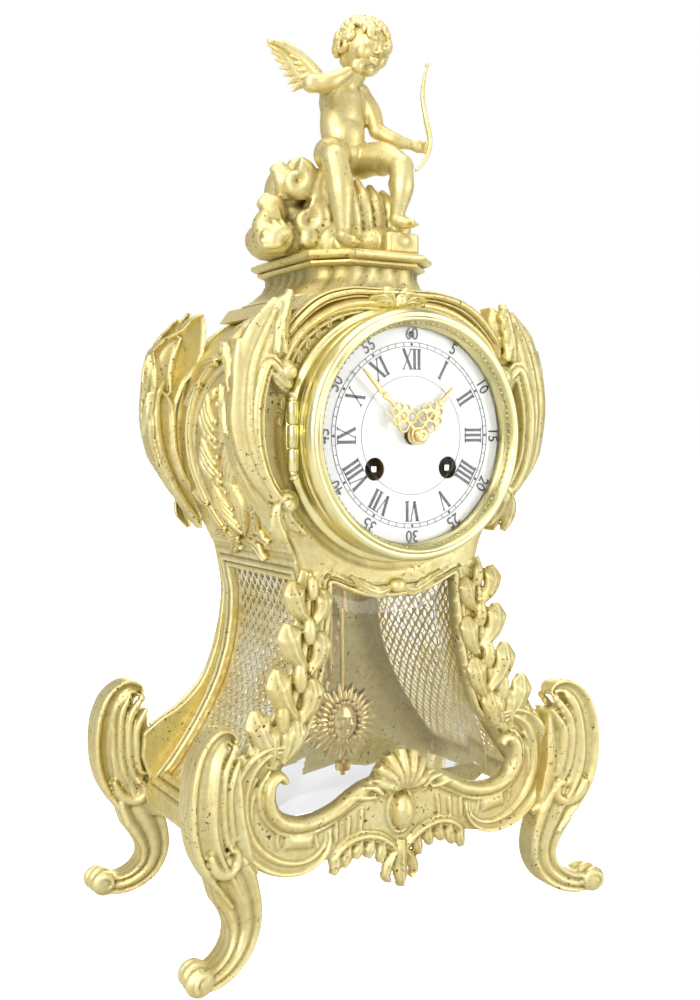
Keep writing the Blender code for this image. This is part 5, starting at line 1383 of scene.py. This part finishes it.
stand = Clay()
base_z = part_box("pedestal")[0][2] / MM
STACK = [(base_z, 40, 41.5, 14, 0), (base_z + 0.5, 39.6, 41.3, 14, 0), (base_z + 1.6, 37, 40.2, 13.5, 0),
         (base_z + 4.0, 34.0, 38.5, 12.5, 0.4), (base_z + 7, 30.5, 37.4, 12, 0.8),
         (base_z + 10.5, 28.6, 37.0, 12, 0.9), (base_z + 13.2, 28.4, 37.2, 12, 0.7),
         (base_z + 14.0, 28.8, 37.6, 12, 0.2), (base_z + 14.6, 30.5, 39.4, 12.6, 0),
         (base_z + 15.4, 31.2, 40.4, 12.8, 0), (base_z + 16.4, 31.0, 40.2, 12.8, 0),
         (base_z + 16.8, 30.4, 40.0, 12.8, 0), (base_z + 17.4, 32.0, 42.0, 13, 0),
         (base_z + 18.4, 33.2, 43.0, 13, 0), (base_z + 19.6, 33.4, 43.2, 13, 0),
         (base_z + 20.4, 33.0, 42.8, 13, 0), (base_z + 20.9, 31.9, 41.8, 13, 0),
         (SLAB_TOP, 31.4, 41.2, 13, 0)]
stand.sleeve([octagon_ring(z, hx, hy, cut, 20, wave) for z, hx, hy, cut, wave in STACK])
made = stand.object("plinth", GILT, smooth=True)
made.data.set_sharp_from_angle(angle=math.radians(38))
place(made, "case", ["pedestal"], "gilt_bronze")

# ------------------------------------------------------------------ pendulum
bob = Clay()
low_y = BOB_LOW[1] / MM
high_y = BOB_HIGH[1] / MM
BOB_R = (BOB_HIGH[0] - BOB_LOW[0]) / 2 / MM


def bob_face(x, z, h):
    return np.stack([x, (low_y + high_y) / 2 - h, z + 0 * h], -1)


for k in range(30):
    a = 2 * math.pi * k / 30
    reach = BOB_R * (1.0 if k % 2 == 0 else 0.88)
    path = [(9 * math.cos(a), BOB_Z + 9 * math.sin(a)),
            (14.5 * math.cos(a + 0.04), BOB_Z + 14.5 * math.sin(a + 0.04)),
            (reach * math.cos(a), BOB_Z + reach * math.sin(a))]
    strand(bob, path, [1.4, 1.9, 1.5, 0.3], [2.0, 2.2, 1.8, 0.4], ROUND, bob_face, base=-0.4, sink=1.0,
           count=14)
bob.blob((0, (low_y + high_y) / 2 + 0.2, BOB_Z), (12.2, 1.6, 12.2), around=28)


MASK_HALF_X, MASK_HALF_Z = 7.6, 9.6


def face_relief(x, z):
    """Calm mask: brow, lidded eyes, straight nose, closed mouth on even thirds."""
    v = (z - BOB_Z) / MASK_HALF_Z
    u = x / MASK_HALF_X
    r = np.hypot(u, v)
    h = 4.3 * np.sqrt(np.clip(1 - r ** 2, 0, 1))

    def bump(cx, cz, sx, sz):
        return np.exp(-((u - cx) / sx) ** 2 - ((v - cz) / sz) ** 2)

    for s in (-1, 1):
        h = h - 0.75 * bump(s * 0.42, 0.16, 0.22, 0.13) + 0.55 * bump(s * 0.42, 0.13, 0.15, 0.085)
        h = h + 0.45 * bump(s * 0.40, 0.33, 0.28, 0.07) + 0.35 * bump(s * 0.52, -0.22, 0.24, 0.2)
        h = h - 0.35 * bump(s * 0.25, -0.30, 0.08, 0.14) + 0.35 * bump(s * 0.13, -0.20, 0.08, 0.06)
    h = h + 1.25 * bump(0, 0.02, 0.10, 0.22) + 0.75 * bump(0, -0.18, 0.12, 0.09)
    h = h + 0.5 * bump(0, -0.43, 0.24, 0.05) + 0.5 * bump(0, -0.55, 0.19, 0.055)
    h = h - 0.35 * bump(0, -0.49, 0.22, 0.03) + 0.5 * bump(0, -0.78, 0.22, 0.12)
    return h


step = 0.28
sheet(bob, np.arange(-8.2, 8.2, step), np.arange(BOB_Z - 10, BOB_Z + 10, step),
      lambda x, z: (1 - np.hypot(x / MASK_HALF_X, (z - BOB_Z) / MASK_HALF_Z)) * 8, face_relief, bob_face, 1.0)
for k in range(16):
    a = math.radians(-55 + 290 * k / 15)
    bob.blob((8.6 * math.cos(a), (low_y + high_y) / 2 - 2.0, BOB_Z + 10.0 * math.sin(a)), (1.7, 1.8, 1.7),
             rings=6, around=8)
made = bob.object("sun_bob", BRIGHT)
place(made, "pendulum", ["pendulum_bob"], "movement_brass")

# ------------------------------------------------------------------ cloud rocks
cloud = Clay()
for centre, radii in (((-6, 5, 322), (26, 24, 23)), ((-29, 5, 320), (18, 16, 11)),
                      ((-27, 5, 342), (10, 11, 14)), ((14, 2, 322), (13, 20, 15)),
                      ((13, -27, 317.5), (8, 12, 6)), ((8, -20, 318), (14, 12, 8))):
    cloud.blob(centre, radii, rings=26, around=48)
bits = np.random.default_rng(3)
for k in range(26):
    a = bits.uniform(math.pi * 0.55, math.pi * 1.75)
    up = bits.uniform(316, 345)
    span = 24 - 0.35 * (up - 316)
    cx, cy = -8 + span * math.cos(a), 2 + span * 0.9 * math.sin(a)
    size = bits.uniform(3.5, 7)
    cloud.blob((cx, cy, up), (size, size * 0.8, size * 0.8), rings=14, around=24)
for cx, cz, r, turn in ((-38, 321, 9.5, 1), (-24, 328, 8.0, -1), (-10, 318, 6.5, 1), (-30, 345, 7.0, -1),
                        (22, 326, 7.5, -1), (-16, 342, 6.0, 1)):
    line = spiral(cx, cz, r, 1.2, 90, 1.25 * turn, 26)
    points = [(x, -18 + 0.25 * abs(x) - 0.08 * (z - 320), z) for x, z in line]
    tube(cloud, points, [4.6, 5.2, 4.6, 3.4, 2.2], count=40)
for k in range(7):
    a = math.radians(200 - 22 * k)
    tube(cloud, [(-38, -14, 316), (-38 + 5 * math.cos(a), -15.5, 316 + 5 * math.sin(a)),
                 (-38 + 10.5 * math.cos(a), -12, 316 + 10.5 * max(math.sin(a), -0.2))], [1.2, 1.9, 1.3],
         count=10)
for dx, dz, tall, tilt in ((-32, 338, 15, -5), (-26, 343, 13, -1), (-38, 328, 9, -7)):
    tube(cloud, [(dx, -6, dz), (dx + tilt * 0.3, -8, dz + tall * 0.5), (dx + tilt, -5, dz + tall)],
         [5.6, 6.2, 4.0], flat=0.75, count=16)
for k in range(4):
    tube(cloud, [(-6 + 7 * k, -14, 350 - 2 * k), (-8 + 7.5 * k, -25 + k, 336),
                 (-5 + 7.0 * k, -24 + k, 322), (-7 + 7 * k, -20, 314)], [2, 3.2, 3.0, 2], count=22)
foot = octagon_ring(313, 9, 10, 1.5, 3)
cloud.sleeve([[(x + 13, y - 27.5, z) for x, y, _ in foot] for z in (312.2, 316, 321.5)])
made = cloud.object("rock_cloud", GILT)
low_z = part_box("rocks")[0][2] / MM
made = cast(made, 0.75, 7)
for vert in made.data.vertices:
    if vert.co.z < low_z * MM:
        vert.co.z = low_z * MM
place(made, "case", ["rocks"], "gilt_bronze")

# ------------------------------------------------------------------ the winged child
HEAD = Vector((7.2, -11, 411.3))
child = Clay()
child.blob((-1, -4, 386), (11.5, 8.5, 11), rings=20, around=32)
child.blob((-1, -5.5, 371), (11.0, 9.4, 11), rings=20, around=32)
child.blob((-1, -5, 361), (12.8, 10.8, 10.0), rings=20, around=32)
child.blob((-1, -4.9, 376), (11.4, 9.0, 20.0), rings=24, around=36)
child.blob((-0.8, -7.4, 369.5), (9.6, 8.4, 10.5), rings=20, around=32)
tube(child, [(-1, -4, 390), (1.6, -6, 396), (4.6, -9, 401.5)], [7.4, 6.0, 6.2])
tube(child, [(-9, -5, 393), (-17, -12, 391.5), (-25.5, -19, 388)], [4.6, 5.0, 4.0])
tube(child, [(-25.5, -19, 388), (-17, -23, 389.5), (-7, -23, 395.5)], [4.0, 4.2, 2.7])
child.blob((-3, -22.5, 398.5), (3.8, 3.0, 3.4))
for k in range(4):
    tube(child, [(-2.5 - 0.3 * k, -23.5 + 0.8 * k, 397.5 + k), (0.5, -23.0 + 0.9 * k, 400.5 + 0.8 * k),
                 (3.0, -21 + 0.6 * k, 401.0 + 0.9 * k)], [1.2, 1.1, 0.9], around=8, count=10)
tube(child, [(9, -5, 392), (13.5, -8, 383), (14.5, -11, 374)], [4.6, 4.9, 3.9])
tube(child, [(14.5, -11, 374), (21, -16, 369), (29, -19.5, 367)], [3.9, 3.9, 2.4])
child.blob((31.5, -20.5, 366.5), (3.8, 2.8, 3.2))
for k in range(4):
    tube(child, [(31.5, -20.5, 368.5 - 1.4 * k), (35, -22.5, 368.2 - 1.4 * k),
                 (36, -20.8, 367.6 - 1.4 * k)], [1.1, 1.1, 0.9], around=8, count=8)
tube(child, [(-8, -8, 359), (-15, -20, 357), (-20, -29, 353.5)], [8.4, 8.0, 6.0])
tube(child, [(-20, -30, 353.5), (-19.5, -34.5, 338), (-18, -34.5, 320)], [6.0, 6.4, 3.5])
tube(child, [(-18, -33, 317), (-17.7, -37.5, 315.2), (-17.4, -43.5, 314.2)], [3.4, 3.2, 2.2], flat=0.8)
tube(child, [(7, -8, 359), (12, -21, 358.5), (14.5, -32, 353)], [8.4, 7.8, 5.8])
tube(child, [(14.5, -32.5, 353), (12.8, -35.5, 342), (11.5, -33.5, 330)], [5.8, 5.8, 3.4])
tube(child, [(11.5, -32.5, 327.5), (13.5, -36.5, 326), (15.5, -41.5, 325)], [3.4, 3.2, 2.2], flat=0.8)
for spot, size in (((-20, -29.8, 353.0), 6.3), ((14.5, -32.4, 352.4), 6.1), ((-25.8, -19.3, 388), 4.3),
                   ((14.6, -11.2, 373.6), 4.2), ((-9.5, -5, 392.8), 5.0), ((9.2, -5, 391.8), 5.0),
                   ((-8.2, -8.5, 359.2), 8.8), ((7.4, -8.5, 359.2), 8.8), ((-18, -33.6, 318), 3.7),
                   ((11.6, -32.8, 328.4), 3.7), ((-19.3, -33.2, 342), 6.6), ((13.2, -34.2, 344), 6.2),
                   ((-17, -21, 357), 8.0), ((12, -20, 358), 7.8)):
    child.blob(spot, (size, size, size), rings=10, around=16)
for foot_x, foot_y, foot_z in ((-17.4, -44.2, 313.8), (15.8, -42.0, 324.8)):
    for k in range(5):
        child.blob((foot_x - 2.1 + 1.05 * k, foot_y - 0.6 + 0.25 * k, foot_z),
                   (0.75 + 0.25 * (k == 0), 1.4, 0.95), rings=5, around=8)
made = child.object("child_body", GILT_FIGURE)
made = cast(made, 0.7, 12)

tilt = Matrix.Rotation(math.radians(14), 3, "Y") @ Matrix.Rotation(math.radians(10), 3, "X") \
    @ Matrix.Rotation(math.radians(12), 3, "Z")


def head_at(x, y, z):
    return tuple(HEAD + tilt @ Vector((x, y, z)))


head = Clay()
head.blob(HEAD, (11.4, 12.2, 13.2), tilt, rings=16, around=24)
head.blob(head_at(0, -2.6, -5.6), (8.4, 8.4, 7.6), tilt, rings=12, around=18)
for s in (-1, 1):
    head.blob(head_at(s * 5.2, -7.4, -4.0), (4.0, 3.6, 3.9), tilt)
    head.blob(head_at(s * 4.3, -10.0, 0.9), (2.6, 1.7, 1.7), tilt)
    tube(head, [head_at(s * 1.9, -11.9, 2.6), head_at(s * 4.6, -11.3, 3.7), head_at(s * 7.2, -9.2, 2.7)],
         [0.7, 0.8, 0.5], around=8, count=12)
    tube(head, [head_at(s * 2.2, -11.6, 0.6), head_at(s * 4.3, -11.6, 1.6), head_at(s * 6.4, -10.2, 0.6)],
         [0.4, 0.5, 0.4], around=8, count=12)
    head.blob(head_at(s * 11.0, -0.5, -0.8), (1.4, 2.4, 3.2), tilt)
    head.blob(head_at(s * 1.35, -12.6, -2.9), (0.9, 0.9, 0.8), tilt, rings=6, around=8)
tube(head, [head_at(0, -11.6, 2.4), head_at(0, -12.7, -0.4), head_at(0, -13.5, -2.6)], [0.9, 1.0, 1.35],
     count=12)
tube(head, [head_at(-2.6, -10.9, -6.0), head_at(0, -12.3, -5.5), head_at(2.6, -10.9, -6.0)],
     [0.5, 0.95, 0.5], around=8, count=12)
tube(head, [head_at(-2.1, -10.7, -7.2), head_at(0, -11.9, -7.3), head_at(2.1, -10.7, -7.2)],
     [0.5, 1.0, 0.5], around=8, count=12)
head.blob(head_at(0, -8.9, -10.6), (3.0, 2.6, 2.5), tilt)
face = cast(head.object("child_head", GILT_FIGURE), 0.5, 3)

curls = Clay()
bits = np.random.default_rng(11)
for k in range(120):
    up = bits.uniform(-0.45, 1.0)
    a = bits.uniform(0, 2 * math.pi)
    flat_r = math.sqrt(max(0.0, 1 - up * up))
    nx, ny, nz = flat_r * math.cos(a), flat_r * math.sin(a), up
    if ny < -0.25 and nz < 0.55 - 0.5 * abs(nx):
        continue
    c = np.array(head_at(11.6 * nx, 1.0 + 12.4 * ny, 13.2 * nz))
    out = np.array(tilt @ Vector((nx, ny, nz)))
    one = np.cross(out, (0.3, 0.2, 1.0))
    one /= np.linalg.norm(one)
    two = np.cross(out, one)
    spin = bits.uniform(0, 6.3)
    way = 1 if bits.uniform() > 0.5 else -1
    points = []
    for t in np.linspace(0, 1, 9):
        b = spin + way * t * 5.2
        r = 3.1 * (1 - 0.72 * t)
        points.append(c + one * r * math.cos(b) + two * r * math.sin(b) + out * (0.4 + 1.2 * t))
    tube(curls, points, [1.3, 1.65, 1.3, 0.9], around=8, count=16)
locks = curls.object("child_curls", GILT_FIGURE)

wings = Clay()


def feather(root, tip, bend, width, thick=1.1):
    """One long feather from root to tip, bent by an offset."""
    root, tip, bend = np.array(root, float), np.array(tip, float), np.array(bend, float)
    mid = (root + tip) / 2 + bend
    tube(wings, [root, mid, tip], [width * 0.6, width, width * 0.9, width * 0.3], flat=thick / width,
         around=10, count=14)


for k in range(7):
    t = k / 6
    feather((-8 - 5 * t, 6 + 2 * t, 396 + 7 * t), (-20 - 13 * t, 10 + 2 * t, 393 + 21 * t),
            (-1, 2, 2.5), 2.3)
for k in range(6):
    t = k / 5
    feather((-7 - 3 * t, 5 + 2 * t, 397 + 7 * t), (-15 - 8 * t, 8 + 2 * t, 396 + 17 * t), (0, 0, 2), 2.0, 1.4)
tube(wings, [(-4, 3, 393), (-9, 6, 402), (-16, 9, 409.5), (-25, 11, 414.5), (-32, 12, 415)],
     [3.0, 2.8, 2.5, 2.2, 1.0], count=24)
for k in range(6):
    t = k / 5
    feather((8 + 4 * t, 6 + 2 * t, 396 + 6 * t), (17 + 8 * t, 14 + 4 * t, 396 + 17 * t), (1, 2, 2), 2.2)
tube(wings, [(5, 3, 393), (10, 7, 401), (17, 13, 408), (24, 18, 412)], [3.0, 2.6, 2.2, 1.0], count=20)
plumes = wings.object("child_wings", GILT_FIGURE)
made = joined("winged_child", [made, face, locks, plumes], GILT_FIGURE)
place(made, "case", ["cupid"], "gilt_bronze")

string = Clay()
tube(string, [(36.5, -22, 404.5), (34.2, -23, 399), (31.6, -25, 389), (33.0, -26, 378), (35.2, -26, 368.5),
              (33.5, -26, 361), (28.5, -26, 354.5), (26.8, -26, 353.6)],
     [0.5, 0.9, 1.1, 1.1, 1.3, 1.1, 0.9, 0.6], around=8, count=60)
string.blob((36.4, -22, 405.2), (1.0, 1.0, 1.3))
made = string.object("bow_stave", GILT_FIGURE)
place(made, "case", ["bow"], "gilt_bronze")

# ------------------------------------------------------------------ materials of the CAD nodes
DRESS = {
    "roof_cap": GILT, "back_seat_ring": BEZEL, "back_door": BRIGHT, "front_door_glass": DOME,
    "front_plate": BRASS, "back_plate": BRASS, "bell": BELL, "bell_stand": STEEL, "hammer": STEEL,
    "front_hinge_pin": BEZEL, "back_hinge_pin": BEZEL, "suspension_spring": STEEL,
    "suspension_cock": BRASS, "pendulum_rod": BRASS, "rating_nut": BRASS,
}
STEEL_NODES = ("winding", "pallet", "screw")
for name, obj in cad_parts.items():
    mat = DRESS.get(name)
    if mat is None:
        mat = STEEL if any(word in name for word in STEEL_NODES) else BRASS
    obj.data.materials.clear()
    obj.data.materials.append(mat)

# ------------------------------------------------------------------ floor, light and camera
white, tree, lamp = shader("floor_white")
soft = noise(tree, 3.0, 2.0)
tone = ramp(tree, soft.outputs["Fac"], [(0.3, (0.66,) * 3), (0.7, (0.69,) * 3)])
tree.links.new(tone.outputs["Color"], lamp.inputs["Base Color"])
lamp.inputs["Roughness"].default_value = 0.9
lamp.inputs["Emission Color"].default_value = (1.0, 1.0, 1.0, 1.0)
seen = tree.nodes.new("ShaderNodeLightPath")
tree.links.new(seen.outputs["Is Camera Ray"], lamp.inputs["Emission Strength"])
floor_mesh = bpy.data.meshes.new("floor")
floor_mesh.from_pydata([(-8, -8, -0.0005), (8, -8, -0.0005), (8, 8, -0.0005), (-8, 8, -0.0005)], [],
                       [(0, 1, 2, 3)])
floor = bpy.data.objects.new("floor", floor_mesh)
floor_mesh.materials.append(white)
bpy.context.scene.collection.objects.link(floor)


def area(name, spot, aim, size, power, colour=(1, 1, 1)):
    """Soft rectangular light."""
    data = bpy.data.lights.new(name, "AREA")
    data.shape = "RECTANGLE"
    data.size, data.size_y = size
    data.energy = power
    data.color = colour
    obj = bpy.data.objects.new(name, data)
    obj.location = spot
    obj.rotation_euler = (Vector(aim) - Vector(spot)).to_track_quat("-Z", "Y").to_euler()
    bpy.context.scene.collection.objects.link(obj)
    return obj


CENTRE = (0, 0, 0.21)
area("key", (-1.3, -0.9, 0.9), CENTRE, (0.8, 1.0), 19)
area("fill", (0.9, -1.4, 0.5), CENTRE, (0.7, 1.1), 8.5)
area("top", (0, -0.1, 1.7), CENTRE, (1.1, 1.1), 12)
area("back", (0.8, 1.2, 0.7), CENTRE, (0.8, 0.9), 9)

world = bpy.data.worlds.new("studio")
bpy.context.scene.world = world
world.use_nodes = True
nodes, links = world.node_tree.nodes, world.node_tree.links
paint = nodes["Background"]
where = nodes.new("ShaderNodeTexCoord")
split = nodes.new("ShaderNodeSeparateXYZ")
links.new(where.outputs["Generated"], split.inputs[0])
band = nodes.new("ShaderNodeValToRGB")
while len(band.color_ramp.elements) < 5:
    band.color_ramp.elements.new(0.5)
for element, (spot, grey) in zip(band.color_ramp.elements,
                                 ((0.0, 0.95), (0.5, 0.97), (0.56, 1.0), (0.75, 0.9), (1.0, 1.0))):
    element.position = spot
    element.color = (grey, grey, grey, 1)
scale = nodes.new("ShaderNodeMapRange")
scale.inputs["From Min"].default_value = -1
links.new(split.outputs["Z"], scale.inputs["Value"])
links.new(scale.outputs["Result"], band.inputs["Fac"])
path_info = nodes.new("ShaderNodeLightPath")
blend = nodes.new("ShaderNodeMix")
blend.data_type = "RGBA"
stripe = nodes.new("ShaderNodeTexWave")
stripe.bands_direction = "X"
stripe.inputs["Scale"].default_value = 0.6
stripe.inputs["Distortion"].default_value = 1.5
links.new(where.outputs["Generated"], stripe.inputs["Vector"])
dim = nodes.new("ShaderNodeValToRGB")
dim.color_ramp.elements[0].position = 0.15
dim.color_ramp.elements[0].color = (0.12, 0.12, 0.13, 1)
dim.color_ramp.elements[1].position = 0.62
dim.color_ramp.elements[1].color = (0.98, 0.98, 0.98, 1)
links.new(stripe.outputs["Fac"], dim.inputs["Fac"])
links.new(path_info.outputs["Is Camera Ray"], blend.inputs[0])
links.new(dim.outputs["Color"], blend.inputs[6])
blend.inputs[7].default_value = (1, 1, 1, 1)
links.new(blend.outputs[2], paint.inputs["Color"])
paint.inputs["Strength"].default_value = 1.0

scene = bpy.context.scene
scene.view_settings.view_transform = "Standard"
scene.view_settings.look = "None"
lens = bpy.data.cameras.new("camera")
lens.lens = 41.5
lens.sensor_width = 36
lens.clip_start = 0.01
camera = bpy.data.objects.new("camera", lens)
yaw, pitch, roll = math.radians(30.63), math.radians(3.3), math.radians(-0.3)
ahead = Vector((math.sin(yaw) * math.cos(pitch), math.cos(yaw) * math.cos(pitch), -math.sin(pitch)))
camera.matrix_world = Matrix.Translation((-0.2845, -0.4890, 0.2286)) \
    @ ahead.to_track_quat("-Z", "Y").to_matrix().to_4x4() @ Matrix.Rotation(roll, 4, "Z")
bpy.context.scene.collection.objects.link(camera)
scene.camera = camera
